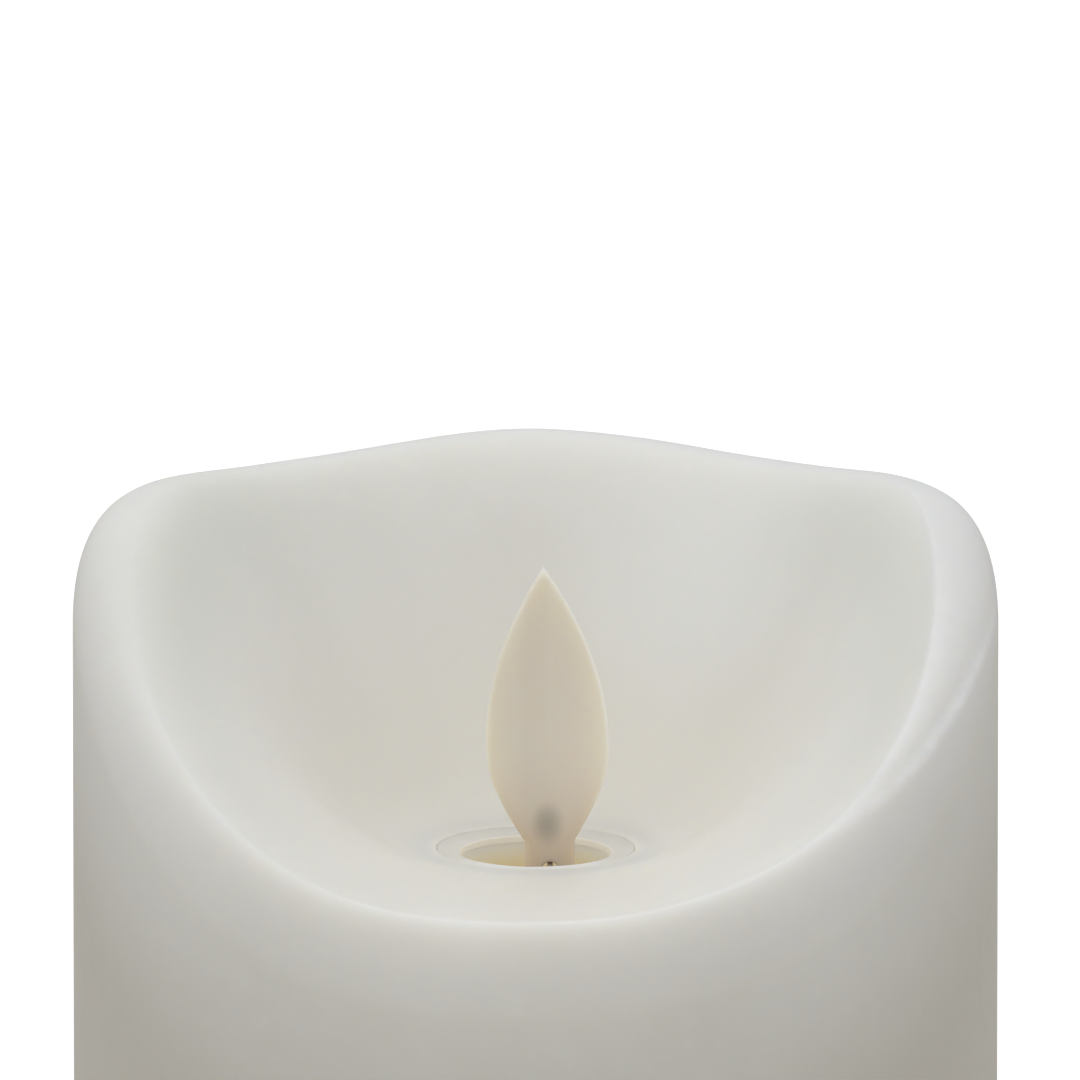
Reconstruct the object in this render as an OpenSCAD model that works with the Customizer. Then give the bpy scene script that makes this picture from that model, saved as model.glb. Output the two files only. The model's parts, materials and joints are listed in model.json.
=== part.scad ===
// Moving-flame pillar candle: a wax pillar over a plastic module that holds a swinging flame,
// its coil and LED, a control board and two C cells.
// +Z is up, -Y is the low front of the melted top, and the origin is on the surface that the
// candle stands on, at the middle of its foot ring.

/* [Wax pillar] */
// Outside diameter of the wax
pillar_d = 88.9; // [86:0.1:120]
// Height of the highest point of the wax
pillar_h = 127; // [127:0.5:230]
// Thickness of the wax round the liner
wax_wall = 8.4; // [6:0.1:9.5]
// Gap between the wax and the surface that the foot ring stands on
wax_gap = 0.8; // [0.3:0.1:0.9]

/* [Melted top] */
// Height of the back and side crests above the collar's opening
crest_h = 33.5; // [24:0.5:45]
// Height of the front lip above the collar's opening
front_h = 2.2; // [1:0.1:10]
// Depth of the two dips between the crests
crest_dip = 1.5; // [0:0.1:4]
// Angle from the front at which the lip reaches its side crest
rise_angle = 108; // [80:1:140]
// How late the lip rises: a larger power keeps the front low for longer
rise_power = 3; // [1.5:0.1:5]
// Width of the rounded outer edge at the front
lip_front_w = 3; // [2:0.1:6]
// Width of the rounded outer edge at the sides and back
lip_side_w = 7; // [3:0.1:9]
// Fall of the rounded edge at the front
lip_front_drop = 9; // [2:0.1:12]
// Shape of the rounded edge at the front: 2 is an ellipse, less is a sharper ridge
lip_front_power = 1.45; // [1.2:0.05:2]
// The same at the sides and back: more than 2 is a squarer shoulder
lip_side_power = 2.3; // [1.6:0.05:3]
// Height of the low swelling on the right of the front lip
swell_h = 1; // [0:0.1:3]
// Fall of the rounded edge at the sides and back
lip_side_drop = 7.5; // [3:0.1:12]
// Forward tilt of the wax floor round the collar, in degrees
floor_tilt = 3; // [0:0.5:5]

/* [Flame] */
// Greatest width of the flame
flame_w = 11.9; // [8:0.1:13]
// Height of the tip above the collar's opening
flame_h = 27.9; // [20:0.1:32]
// Height of the widest point above the pivot
belly_h = 11.5; // [8:0.1:15]
// Thickness of the flame along its middle
flame_t = 2.2; // [1.4:0.1:3]
// Thickness of the flame at its widest edge
flame_edge_t = 0.6; // [0.4:0.1:1.2]
// Width of the neck below the flame
neck_w = 4.8; // [3.6:0.1:6]
// Sideways distance of the pivot from the collar's centre
flame_shift = 1.4; // [-2:0.1:2]
// Lean of the flame to the left at rest, in degrees
flame_lean = 1.25; // [-3:0.05:3]
// Depth of the pivot wire below the collar's opening
pivot_drop = 1.2; // [0.9:0.1:1.4]
// Diameter of the pivot wire
wire_d = 0.5; // [0.3:0.05:0.6]
// Diameter of the loose hole that hangs on the wire
pivot_hole_d = 1.5; // [0.9:0.05:1.8]
// Distance from the pivot down to the face of the magnet
tail_len = 22.2; // [18:0.1:22.2]
// Diameter of the magnet
magnet_d = 6; // [3:0.1:7]
// Thickness of the magnet
magnet_t = 3; // [1.5:0.1:5]

/* [Mechanism] */
// Diameter of the collar's opening
opening_d = 14.6; // [13:0.1:17.5]
// Width of the collar's ring
collar_w = 2.25; // [2:0.05:4]
// Inside diameter of the pendulum chamber
chamber_d = 28.8; // [28:0.1:32]
// Wall of the moulded housing halves
shell_t = 1.6; // [1.2:0.1:2]
// Diameter of the coil bobbin's flanges
bobbin_d = 16.4; // [12:0.1:20]
// Height of the coil bobbin
bobbin_h = 7; // [5:0.1:7]
// Air gap between the magnet and the bobbin
coil_gap = 2.1; // [1.2:0.1:2.1]
// Diameter of the LED's body
led_d = 5; // [4:0.1:5]
// Tilt of the LED towards the flame, in degrees
led_tilt = 22; // [18:1:24]

/* [Power] */
// Diameter of a cell
cell_d = 26.2; // [21:0.1:26.5]
// Length of a cell with its nub
cell_len = 50; // [40:0.1:50]
// Diameter of a cell's nub
nub_d = 7.5; // [5:0.1:10]
// Height of a cell's nub
nub_h = 1.5; // [1:0.1:3]
// Compressed height of a battery spring
spring_h = 3.2; // [2.5:0.1:3.2]
// Thickness of the sheet-metal contacts
contact_t = 0.4; // [0.2:0.05:0.4]
// Thickness of the battery door
door_t = 1.6; // [1.2:0.1:1.7]
// Travel of the switch knob each way from OFF
switch_travel = 2.5; // [1.5:0.1:3]
// Width of the control board
board_w = 32; // [28:0.5:36]
// Height of the control board
board_h = 38; // [34:0.5:42]
// Thickness of the control board
board_t = 1.6; // [0.8:0.1:1.6]

/* [Liner and base] */
// Wall of the liner under the wax
liner_t = 1.4; // [1:0.1:2]
// Thickness of the base disc
base_t = 3; // [2.8:0.1:4]
// Height of the foot ring below the base disc
foot_h = 1; // [1:0.1:2]
// Width of the foot ring
foot_w = 3; // [2:0.1:3.5]

/* [Hidden] */
$fn = 64;

// Clearances
fit = 0.05;          // seated faces, glued or pressed
slip = 0.3;          // pieces put together by hand
wire_clear = 0.03;   // pivot wire in its seats, and a screw in its pilot hole
eps = 0.5;           // how far a cut runs past a face

// Wax
pillar_r = pillar_d / 2;
liner_r = pillar_r - wax_wall;
liner_in_r = liner_r - liner_t;
lip_z = pillar_h - crest_h;              // the collar's opening
rebate_step = 1.9;                       // ledge that the base disc sits against
rebate_r = liner_r + rebate_step;
collar_r = opening_d / 2 + collar_w;
collar_gap = 0.1;                        // collar to the edge of the wax hole
hole_r = collar_r + collar_gap;
floor_step = 0.6;                        // wax floor above the collar's opening
bowl_start_r = hole_r - 0.4;             // first ring of the bowl, cut away with the hole
bowl_front_bias = 0.6;                   // under 1 puts the steepest part near the hole
bowl_side_bias = 1.25;                   // over 1 puts it further out
swell_at = 30;                           // angle of the low swelling on the lip
swell_reach = 20;
edge_flat = 0.05;                        // keeps the last ring of the lip inside the wall
ring_n = 96;
bowl_n = 12;
lip_n = 9;

// Liner and base
base_r = rebate_r - slip;
base_top = foot_h + base_t;
liner_z0 = base_top + fit;
liner_top = lip_z - 3.4;
liner_roof_t = 1.5;
liner_chamfer = 3;
boss_d = 7;
base_screw_d = 2.5;
base_screw_len = 10;
base_screw_at = [90, 230, 310];
base_screw_r = liner_in_r - boss_d / 2 + 0.1;
screw_head_h = 1.6;
liner_boss_h = 12;
base_screw_clear = 0.2;                  // shank and head in the base
base_screw_seat = base_top - 0.9;        // ledge that the heads pull against

// Cells and contacts, stacked up from the door
door_gap = 0.1;                          // door face above the base disc's face
door_z0 = foot_h + door_gap;
door_z1 = door_z0 + door_t;
bridge_z1 = door_z1 + contact_t;
cell_low_z = bridge_z1 + fit;
cell_high_z = cell_low_z + spring_h;
contact_z = cell_high_z + cell_len + fit;
roof_z = contact_z + contact_t + fit;
roof_t = 2.4;
roof_top = roof_z + roof_t;
cell_gap = 1;
cell_x = (cell_d + cell_gap) / 2;
pocket_r = cell_d / 2 + slip;
case_wall = 1.5;
case_r = pocket_r + case_wall;
pocket_slot = 12;                        // width of the opening between the pockets
contact_w = 9;
spring_wire = 0.6;
tab_w = 3;
tab_gap = 0.12;                          // contact's corners to the pocket's round wall
tab_x = cell_x + sqrt(pow(pocket_r, 2) - pow(contact_w / 2, 2)) - tab_gap - contact_t / 2;
tab_h = 4.4;
tab_slot_gap = 0.25;                     // tabs in the slots of the roof

// Door
door_x = cell_x + pocket_r + 1.8;
door_y = pocket_r + 1.2;
door_corner = 5;
rebate_gap = 0.25;
hinge_r = door_t / 2;
hinge_x = -door_x + hinge_r + 0.4;
hinge_z = door_z0 + hinge_r;
hinge_pin_r = 0.6;
hinge_pin_len = 1.5;
hinge_gap = 0.5;
pin_clear = 0.08;                        // hinge pins in the base
pin_end_gap = 0.15;
latch_w = 8;
latch_t = 1.2;
latch_h = 3.8;
latch_hook = 0.7;
latch_hook_h = 1.2;
latch_gap = 0.4;
latch_side_gap = 0.6;
latch_top_gap = 1;
scoop_r = 4;                             // fingertip scoop beside the latch
scoop_x = 2.4;
scoop_drop = 2.6;

// Mechanism, stacked down from the pivot
pivot_z = lip_z - pivot_drop;
pivot = [flame_shift, 0, pivot_z];
floor_t = 1.5;
seat_gap = 0.1;
bobbin_z = pivot_z - tail_len - coil_gap - bobbin_h;
mech_z = bobbin_z - seat_gap - floor_t;
opening_r = opening_d / 2;
neck_t = 0.9;
neck_r = opening_r + neck_t;
neck_top = lip_z - 0.75;
collar_t = 0.7;
collar_dish = 0.35;
collar_rim_h = 1;
skirt_gap = 0.15;                        // skirt to the wax hole and to the neck
skirt_z = lip_z - 3.3;
shoulder_top = lip_z - 5.1;
shoulder_t = 1.5;
window_top = skirt_z - 0.2;
chamber_r = chamber_d / 2;
shell_r = chamber_r + shell_t;
wire_len = 2 * (neck_r - 0.25);
ear_w = 6;
ear_x = shell_r + 2.6;
ear_z = [6, 21];                         // heights of the side ears above the floor
ear_h = 7;
ear_front_t = 3;
ear_back_t = 6;
foot_x = 13;
foot_y = case_r + 3.1;
foot_at = [for (sx = [-1, 1], sy = [-1, 1]) [sx * foot_x, sy * foot_y]];
foot_r = 3.4;
foot_t = 2;
foot_boss_h = 12;
small_screw_d = 2;
screw_clear = 0.15;                      // screw in a plain hole
half_clear = 0.3;                        // ears stand off the other half's shell
housing_screw_len = 7.5;
foot_screw_len = 8;
bobbin_bore = 5;
bobbin_rim = 1;
core_r = bobbin_bore / 2 + 0.7;
winding_inset = 0.9;                     // winding inside the rims of the bobbin
exit_x = 6;                              // wire exits in the back half
exit_z = mech_z + 3.6;
exit_d = 3.4;

// LED
led_top = [0, -8.2, lip_z - 8.3];
led_len = 8.6;
led_flange_r = led_d / 2 + 0.4;
led_flange_t = 1;
led_holder_w = 8.4;
led_holder_d = 8.4;
led_holder_z = [9, 1];                   // holder's lower and upper faces below the LED's top
lead_w = 0.5;
lead_pitch = 2.54;
lead_len = 5;
lead_tip = led_top - (led_len + lead_len) * [0, sin(led_tilt), cos(led_tilt)];

// Board and switch
board_y = case_r + 2.6;
board_z = base_top + 1;
board_back = board_y + board_t;
rail_w = 3.6;
rail_h = board_h - 6;
rail_depth = 4.2;
groove_clear = 0.08;
switch_w = 12;
switch_d = 4.4;
switch_h = 5;
switch_z = base_top + 0.6;
switch_y = board_back + fit + switch_d / 2;
knob_w = 4.4;
knob_d = 3;
knob_z0 = 0.35;
stem_w = 3;
stem_d = 1.8;
stem_h = 2.6;
knob_clear = 0.3;
chip_at = [0, 20];                       // parts on the board: across it and up it
capacitor_at = [-9, 25];
inductor_at = [9, 24];
transistor_at = [9, 15];
resistor_at = [-6, 14];
resistor_n = 5;
resistor_pitch = 3;
connector_x = 8;
connector_w = 6;
connector_d = 4.6;
connector_h = 6;
connector_z = board_z + board_h - connector_h - 1;

// Wiring: round numbers along each route, from the piece that it leaves to the board
lead_d = 1.2;
coil_lead_d = 0.6;
pair_gap = 0.9;
red_rise = tab_x > ear_x + ear_w / 2 + lead_d ? 1.5 : -0.6;    // outside the ears, or under them
red_route = [[-tab_x - 0.1, 1.2, tab_top()], [-tab_x - 1.1, 7, tab_top() + red_rise],
    [-tab_x + 1.9, 17, tab_top() - 4.2], [-16, 23, 46], [-12, 22, 40], [-12, board_back + 0.6, 38]];
black_route = [for (p = red_route) [-p.x, p.y, p.z]];
led_route = [[0, lead_tip.y + 0.3, lead_tip.z - 0.8], [8, -9.5, mech_z + 8], [11.4, -1, mech_z + 5],
    [9.6, 8, mech_z + 3.8], [exit_x, 14, exit_z], [exit_x + 0.8, 20.5, exit_z - 2],
    [connector_x, 23, 52], [connector_x, board_back + 2.4, connector_z + connector_h]];
coil_route = [[-7.9, 5, mech_z + 2.2], [-7.6, 9, mech_z + 2.8], [-exit_x, 14, exit_z],
    [-exit_x - 0.8, 20.5, exit_z - 2], [-connector_x, 23, 52],
    [-connector_x, board_back + 2.4, connector_z + connector_h]];

function tab_top() = contact_z + contact_t + tab_h;

// ---------- Outline of the melted top, by the signed angle p from the front ----------

function lip_turn(p) = min(abs(p) * 90 / rise_angle, 90);
function lip_blend(p) = pow(sin(lip_turn(p)), 6);
function lip_mix(front, side, p) = front + (side - front) * lip_blend(p);
function lip_dip(p) = abs(p) < rise_angle ? 0
    : crest_dip * pow(sin(180 * (abs(p) - rise_angle) / (180 - rise_angle)), 2);
function lip_swell(p) = swell_h * exp(-pow((p - swell_at) / swell_reach, 2));
function lip_h(p) = front_h + (crest_h - front_h) * pow(sin(lip_turn(p)), rise_power)
    - lip_dip(p) + lip_swell(p);
function lip_w(p) = lip_mix(lip_front_w, lip_side_w, p);
function lip_drop(p) = lip_mix(lip_front_drop, lip_side_drop, p);
function lip_fall(q, power) = 1 - pow(max(1 - pow(q, power), 0), 1 / power);
function bowl_bias(p) = bowl_front_bias
    + (bowl_side_bias - bowl_front_bias) * pow(sin(lip_turn(p)), 2);
function bowl_share(r, p) = pow(max(r - hole_r, 0) / (pillar_r - lip_w(p) - hole_r), bowl_bias(p));
function smooth(t) = t * t * (3 - 2 * t);
function bowl_z(r, p, y) = lip_z + smooth(bowl_share(r, p)) * lip_h(p)
    + (1 - smooth(bowl_share(r, p))) * (floor_step + tan(floor_tilt) * y);

// A point on the wax at angle phi round the pillar, 0 at the front
function wax_point(r, z, phi) = [r * sin(phi), -r * cos(phi), z];
function bowl_point(r, phi) = wax_point(r, bowl_z(r, phi, -r * cos(phi)), phi);
function bowl_r(s, phi) = bowl_start_r + s * (pillar_r - lip_w(phi) - bowl_start_r);
function lip_power(phi) = lip_mix(lip_front_power, lip_side_power, phi);
function lip_point(q, phi) = wax_point(
    min(pillar_r - lip_w(phi) * (1 - q), pillar_r - edge_flat),
    lip_z + lip_h(phi) - lip_drop(phi) * lip_fall(q, lip_power(phi)), phi);

module top_form() {
    overhang = 1.5;
    phis = [for (i = [0 : ring_n - 1]) -180 + i * 360 / ring_n];
    rings = concat(
        [[for (p = phis) bowl_point(hole_r / 2, p)]],
        [for (k = [0 : bowl_n]) [for (p = phis) bowl_point(bowl_r(k / bowl_n, p), p)]],
        [for (k = [1 : lip_n]) [for (p = phis) lip_point(sin(90 * k / lip_n), p)]],
        [[for (p = phis) wax_point(pillar_r + overhang,
            lip_z + lip_h(p) - lip_drop(p) - eps, p)]],
        [[for (p = phis) wax_point(pillar_r + overhang, -eps, p)]]);
    count = len(rings);
    top = count * ring_n;
    sides = [for (k = [0 : count - 2], i = [0 : ring_n - 1])
        let (a = k * ring_n + i, b = k * ring_n + (i + 1) % ring_n)
        each [[a, b, a + ring_n], [b, b + ring_n, a + ring_n]]];
    caps = [for (i = [0 : ring_n - 1])
        let (j = (i + 1) % ring_n, last = (count - 1) * ring_n)
        each [[top, j, i], [top + 1, last + i, last + j]]];
    polyhedron(points = concat([for (r = rings) each r],
        [[0, 0, lip_z + floor_step], [0, 0, -eps]]), faces = concat(sides, caps));
}

// ---------- Shared shapes ----------

module ring(outer, inner, h) {
    difference() {
        cylinder(r = outer, h = h);
        translate([0, 0, -eps]) cylinder(r = inner, h = h + 2 * eps);
    }
}

module block(x, y, z0, z1) {
    translate([-x / 2, -y / 2, z0]) cube([x, y, z1 - z0]);
}

// Pan-head screw with its head's underside at z = 0 and its shank pointing up
module screw(d, len) {
    head_r = d;
    slot = 0.16 * d;
    difference() {
        union() {
            translate([0, 0, -screw_head_h]) cylinder(r = head_r, h = screw_head_h);
            cylinder(r = d / 2, h = len - d / 2);
            translate([0, 0, len - d / 2]) cylinder(r1 = d / 2, r2 = d / 8, h = d / 2);
        }
        for (turn = [0, 90]) rotate(turn) block(1.3 * head_r, slot, -screw_head_h - eps, -0.9);
    }
}

function circle_ring(c, u, v, r, n) = [for (i = [0 : n - 1])
    c + r * (cos(360 * i / n) * u + sin(360 * i / n) * v)];
function unit(v) = v / norm(v);

// A closed tube through rings of n points each
module skin(rings, n) {
    last = (len(rings) - 1) * n;
    polyhedron(points = [for (r = rings) each r], faces = concat(
        [[for (i = [0 : n - 1]) i]],
        [for (k = [0 : len(rings) - 2], i = [0 : n - 1])
            let (a = k * n + i, b = k * n + (i + 1) % n)
            each [[a, a + n, b], [b, a + n, b + n]]],
        [[for (i = [n - 1 : -1 : 0]) last + i]]));
}

// Catmull-Rom curve through the points of a route
function clamped(p, i) = p[min(max(i, 0), len(p) - 1)];
function curve(p, i, t) = 0.5 * (2 * clamped(p, i) + t * (clamped(p, i + 1) - clamped(p, i - 1))
    + t * t * (2 * clamped(p, i - 1) - 5 * clamped(p, i) + 4 * clamped(p, i + 1)
    - clamped(p, i + 2))
    + t * t * t * (3 * clamped(p, i) - clamped(p, i - 1) - 3 * clamped(p, i + 1)
    + clamped(p, i + 2)));

module lead(route, d) {
    steps = 4;
    sides = 8;
    path = [for (i = [0 : len(route) - 2], s = [0 : steps - 1]) curve(route, i, s / steps)];
    whole = concat(path, [route[len(route) - 1]]);
    skin([for (i = [0 : len(whole) - 1])
        let (along = unit(clamped(whole, i + 1) - clamped(whole, i - 1)),
            across = unit(cross(along, [0.3, 1, 0.2])))
        circle_ring(whole[i], across, cross(along, across), d / 2, sides)], sides);
}

// Conical compression spring with its wide end at z = 0
module spring(r0, r1, h, turns, d) {
    steps = 14;
    sides = 8;
    skin([for (i = [0 : turns * steps])
        let (t = i / (turns * steps), a = 360 * i / steps, r = r0 + (r1 - r0) * t,
            out = [cos(a), sin(a), 0])
        circle_ring(r * out + [0, 0, d / 2 + t * (h - d)], out, [0, 0, 1], d / 2, sides)], sides);
}

module rounded_plate(x, y, r, z0, z1) {
    translate([0, 0, z0]) linear_extrude(z1 - z0) union() {
        square([2 * x, 2 * (y - r)], center = true);
        square([2 * (x - r), 2 * y], center = true);
        for (sx = [-1, 1], sy = [-1, 1]) translate([sx * (x - r), sy * (y - r)]) circle(r);
    }
}

// ---------- Wax, liner and collar ----------

module wax_shell() {
    color("ivory") difference() {
        intersection() {
            top_form();
            translate([0, 0, wax_gap]) cylinder(r = pillar_r, h = pillar_h, $fn = 128);
        }
        rotate_extrude() polygon([
            [0, -eps], [rebate_r, -eps], [rebate_r, liner_z0 + slip], [liner_r + fit, liner_z0 + slip],
            [liner_r + fit, liner_top - liner_chamfer], [liner_r - liner_chamfer, liner_top + fit],
            [hole_r, liner_top + fit], [hole_r, pillar_h + eps], [0, pillar_h + eps]]);
    }
}

module inner_liner() {
    inside_top = liner_top - liner_roof_t;
    color("white") difference() {
        union() {
            rotate_extrude() polygon([
                [liner_in_r, liner_z0], [liner_r, liner_z0], [liner_r, liner_top - liner_chamfer],
                [liner_r - liner_chamfer, liner_top], [neck_r + slip, liner_top],
                [neck_r + slip, inside_top], [liner_in_r - liner_chamfer, inside_top],
                [liner_in_r, inside_top - liner_chamfer]]);
            for (a = base_screw_at) rotate(a) translate([base_screw_r, 0, liner_z0])
                cylinder(d = boss_d, h = liner_boss_h);
        }
        for (a = base_screw_at) rotate(a) translate([base_screw_r, 0, 0])
            cylinder(r = base_screw_d / 2 + wire_clear, h = liner_z0 + liner_boss_h - 1);
    }
}

module flame_collar() {
    color("whitesmoke") rotate_extrude() polygon([
        [opening_r, lip_z - collar_t], [opening_r, lip_z], [collar_r, lip_z + collar_dish],
        [collar_r, lip_z - collar_rim_h], [collar_r - skirt_gap, lip_z - collar_rim_h],
        [collar_r - skirt_gap, skirt_z], [neck_r + skirt_gap, skirt_z],
        [neck_r + skirt_gap, lip_z - collar_t]]);
}

// ---------- Flame pendulum ----------

// Outline of the flame in X and Z from the pivot, up the right side
function flame_top() = flame_h + pivot_drop;
function flame_root() = 0.2 * belly_h;
function flame_side() = concat(
    [for (k = [0 : 6]) let (v = 1 - k / 6)
        [neck_w / 2 + (flame_w - neck_w) / 2 * cos(90 * v),
            flame_root() + (belly_h - flame_root()) * (1 - v)]],
    [for (k = [1 : 11]) let (u = k / 12)
        [flame_w / 2 * (1 - u * u), belly_h + (flame_top() - belly_h) * u]]);

module flame_outline() {
    side = flame_side();
    tail_w = neck_w * 0.7;
    tail_top = -4;
    polygon(concat(
        [[tail_w / 2, magnet_t - tail_len], [tail_w / 2, tail_top - 2], [neck_w / 2, tail_top]],
        side, [[0, flame_top()]],
        [for (k = [len(side) - 1 : -1 : 0]) [-side[k].x, side[k].y]],
        [[-neck_w / 2, tail_top], [-tail_w / 2, tail_top - 2], [-tail_w / 2, magnet_t - tail_len]]));
}

// Lens section of the flame, seen from above
module flame_lens() {
    bulge = (flame_t - flame_edge_t) / 2;
    lens_r = (pow(flame_w / 2, 2) + pow(bulge, 2)) / (2 * bulge);
    intersection_for (s = [-1, 1]) translate([0, s * (lens_r - flame_t / 2)]) circle(lens_r, $fn = 360);
}

// Hole that flares both ways, so that the flame can nod on the wire
module pivot_hole() {
    flare = 0.5;
    land = 0.6;
    translate([0, 0, wire_d / 2 + 2 * wire_clear - pivot_hole_d / 2]) rotate([90, 0, 0]) {
        cylinder(d = pivot_hole_d, h = flame_t + 2 * eps, center = true);
        for (s = [0, 180]) rotate([s, 0, 0]) translate([0, 0, land / 2])
            cylinder(d1 = pivot_hole_d, d2 = pivot_hole_d + 2 * flare, h = flame_t / 2);
    }
}

module hung() {
    translate(pivot) rotate([0, -flame_lean, 0]) children();
}

module flame_petal() {
    cup_r = magnet_d / 2 + 0.7;
    color("ivory") hung() difference() {
        union() {
            intersection() {
                rotate([90, 0, 0]) linear_extrude(2 * flame_t, center = true) flame_outline();
                translate([0, 0, -tail_len]) linear_extrude(2 * (tail_len + flame_top())) flame_lens();
            }
            translate([0, 0, -tail_len]) cylinder(r = cup_r, h = magnet_t + 1);
        }
        translate([0, 0, -tail_len - eps]) cylinder(r = magnet_d / 2 + fit, h = magnet_t + fit + eps);
        pivot_hole();
    }
}

module flame_magnet() {
    color("silver") hung() translate([0, 0, -tail_len]) cylinder(d = magnet_d, h = magnet_t);
}

module pivot_wire() {
    color("silver") translate(pivot) rotate([90, 0, 0]) cylinder(d = wire_d, h = wire_len, center = true);
}

// ---------- Housing halves ----------

module led_axis() {
    translate(led_top) rotate([-led_tilt, 0, 0]) children();
}

module housing_body() {
    rotate_extrude() polygon([
        [0, mech_z], [shell_r, mech_z], [shell_r, shoulder_top], [neck_r, shoulder_top],
        [neck_r, neck_top], [opening_r, neck_top], [opening_r, shoulder_top - shoulder_t],
        [chamber_r, shoulder_top - shoulder_t], [chamber_r, mech_z + floor_t], [0, mech_z + floor_t]]);
    translate([0, 0, mech_z + floor_t - eps])
        cylinder(d = bobbin_bore - 2 * seat_gap, h = bobbin_h / 2 + eps);
    foot_plates();
}

// Foot plates that the four mechanism screws hold down
module foot_plates() {
    translate([0, 0, mech_z]) linear_extrude(foot_t) difference() {
        for (p = foot_at) {
            translate(p) circle(foot_r);
            rotate(atan2(p.y, p.x)) translate([shell_r - 1, -foot_r]) square([norm(p) - shell_r + 1,
                2 * foot_r]);
        }
        circle(chamber_r);
    }
}

module ears(y0, y1) {
    root_x = chamber_r + half_clear + 0.1;
    end_x = ear_x + ear_w / 2;
    for (s = [-1, 1], z = ear_z)
        translate([s > 0 ? root_x : -end_x, min(y0, y1), mech_z + z - ear_h / 2])
            cube([end_x - root_x, abs(y1 - y0), ear_h]);
}

module ear_holes(r, y0, y1) {
    for (s = [-1, 1], z = ear_z) translate([s * ear_x, y1, mech_z + z])
        rotate([90, 0, 0]) cylinder(r = r, h = y1 - y0);
}

// What is cut from both halves: wire seats, light window, foot holes and wire exits
module housing_cuts() {
    seat_r = wire_d / 2 + wire_clear;
    translate(pivot) rotate([90, 0, 0]) cylinder(r = seat_r, h = 3 * neck_r, center = true);
    translate([flame_shift, 0, 0]) block(2 * seat_r, 3 * neck_r, pivot_z, neck_top + eps);
    intersection() {
        led_axis() cylinder(d = led_d + 1, h = 12);
        translate([0, 0, led_top.z]) cylinder(r = shell_r, h = window_top - led_top.z);
    }
    for (p = foot_at) translate([p.x, p.y, mech_z - eps])
        cylinder(r = small_screw_d / 2 + screw_clear, h = foot_t + 2 * eps);
    for (s = [-1, 1]) translate([s * exit_x, shell_r + 2, exit_z]) rotate([90, 0, 0])
        cylinder(d = exit_d, h = 6);
}

module half_space(side) {
    reach = pillar_d;
    translate([-reach, side > 0 ? fit / 2 : -reach, 0])
        cube([2 * reach, reach - fit / 2, pillar_h]);
}

// Room round the chamber that the ears of the other half keep clear of
module chamber_room() {
    translate([0, 0, mech_z]) cylinder(r = chamber_r + half_clear, h = lip_z - mech_z);
}

module housing_front() {
    color("linen") difference() {
        union() {
            intersection() {
                housing_body();
                half_space(-1);
            }
            difference() {
                ears(-ear_front_t, -fit / 2);
                chamber_room();
            }
        }
        housing_cuts();
        ear_holes(small_screw_d / 2 + screw_clear, -ear_front_t - eps, eps);
    }
}

module housing_back() {
    color("linen") difference() {
        union() {
            intersection() {
                housing_body();
                half_space(1);
            }
            difference() {
                ears(fit / 2, ear_back_t);
                chamber_room();
            }
        }
        housing_cuts();
        ear_holes(small_screw_d / 2 + wire_clear, -eps, ear_back_t - 0.8);
    }
}

module housing_screws() {
    color("silver") for (s = [-1, 1], z = ear_z)
        translate([s * ear_x, -ear_front_t, mech_z + z]) rotate([-90, 0, 0])
            screw(small_screw_d, housing_screw_len);
}

module mechanism_screws() {
    color("silver") for (p = foot_at) translate([p.x, p.y, mech_z + foot_t]) rotate([180, 0, 0])
        screw(small_screw_d, foot_screw_len);
}

// ---------- Coil and LED ----------

module coil_bobbin() {
    color("white") translate([0, 0, bobbin_z]) difference() {
        union() {
            cylinder(r = core_r, h = bobbin_h);
            for (z = [0, bobbin_h - bobbin_rim]) translate([0, 0, z])
                cylinder(d = bobbin_d, h = bobbin_rim);
        }
        translate([0, 0, -eps]) cylinder(d = bobbin_bore, h = bobbin_h + 2 * eps);
    }
}

module coil_winding() {
    color("peru") translate([0, 0, bobbin_z + bobbin_rim + fit])
        ring(bobbin_d / 2 - winding_inset, core_r + fit, bobbin_h - 2 * (bobbin_rim + fit));
}

module led_holder() {
    z0 = led_top.z - led_holder_z[0];
    z1 = led_top.z - led_holder_z[1];
    color("white") difference() {
        intersection() {
            translate([0, 0, z0]) cylinder(r = chamber_r - fit, h = z1 - z0);
            translate([0, led_holder_d / 2 - chamber_r, 0]) block(led_holder_w, led_holder_d, z0, z1);
        }
        led_axis() {
            translate([0, 0, -led_len - 6]) cylinder(r = led_d / 2 + fit, h = led_len + 10);
            translate([0, 0, -led_len - 12]) cylinder(r = led_flange_r + fit,
                h = led_flange_t + fit + 12);
        }
    }
}

module led_bulb() {
    color("lightyellow") led_axis() translate([0, 0, -led_len]) {
        cylinder(r = led_flange_r, h = led_flange_t);
        cylinder(d = led_d, h = led_len - led_d / 2);
        translate([0, 0, led_len - led_d / 2]) sphere(d = led_d);
    }
}

module led_leads() {
    color("silver") led_axis() for (s = [-1, 1])
        translate([s * lead_pitch / 2, 0, 0]) block(lead_w, lead_w, -led_len - lead_len, -led_len);
}

// ---------- Base ----------

module battery_pockets() {
    linear_extrude(roof_z - foot_h) {
        for (s = [-1, 1]) translate([s * cell_x, 0]) circle(pocket_r);
        square([2 * cell_x, pocket_slot], center = true);
    }
}

module case_outline() {
    for (s = [-1, 1]) translate([s * cell_x, 0]) circle(case_r);
    square([2 * cell_x, 2 * case_r], center = true);
}

module board_rails() {
    for (s = [-1, 1]) translate([s * board_w / 2, board_y + board_t / 2, 0]) difference() {
        block(rail_w, rail_depth, base_top - eps, base_top + rail_h);
        translate([-s * rail_w / 2, 0, 0]) block(rail_w + 2 * groove_clear, board_t + 2 * groove_clear,
            base_top, base_top + rail_h + eps);
    }
}

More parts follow.
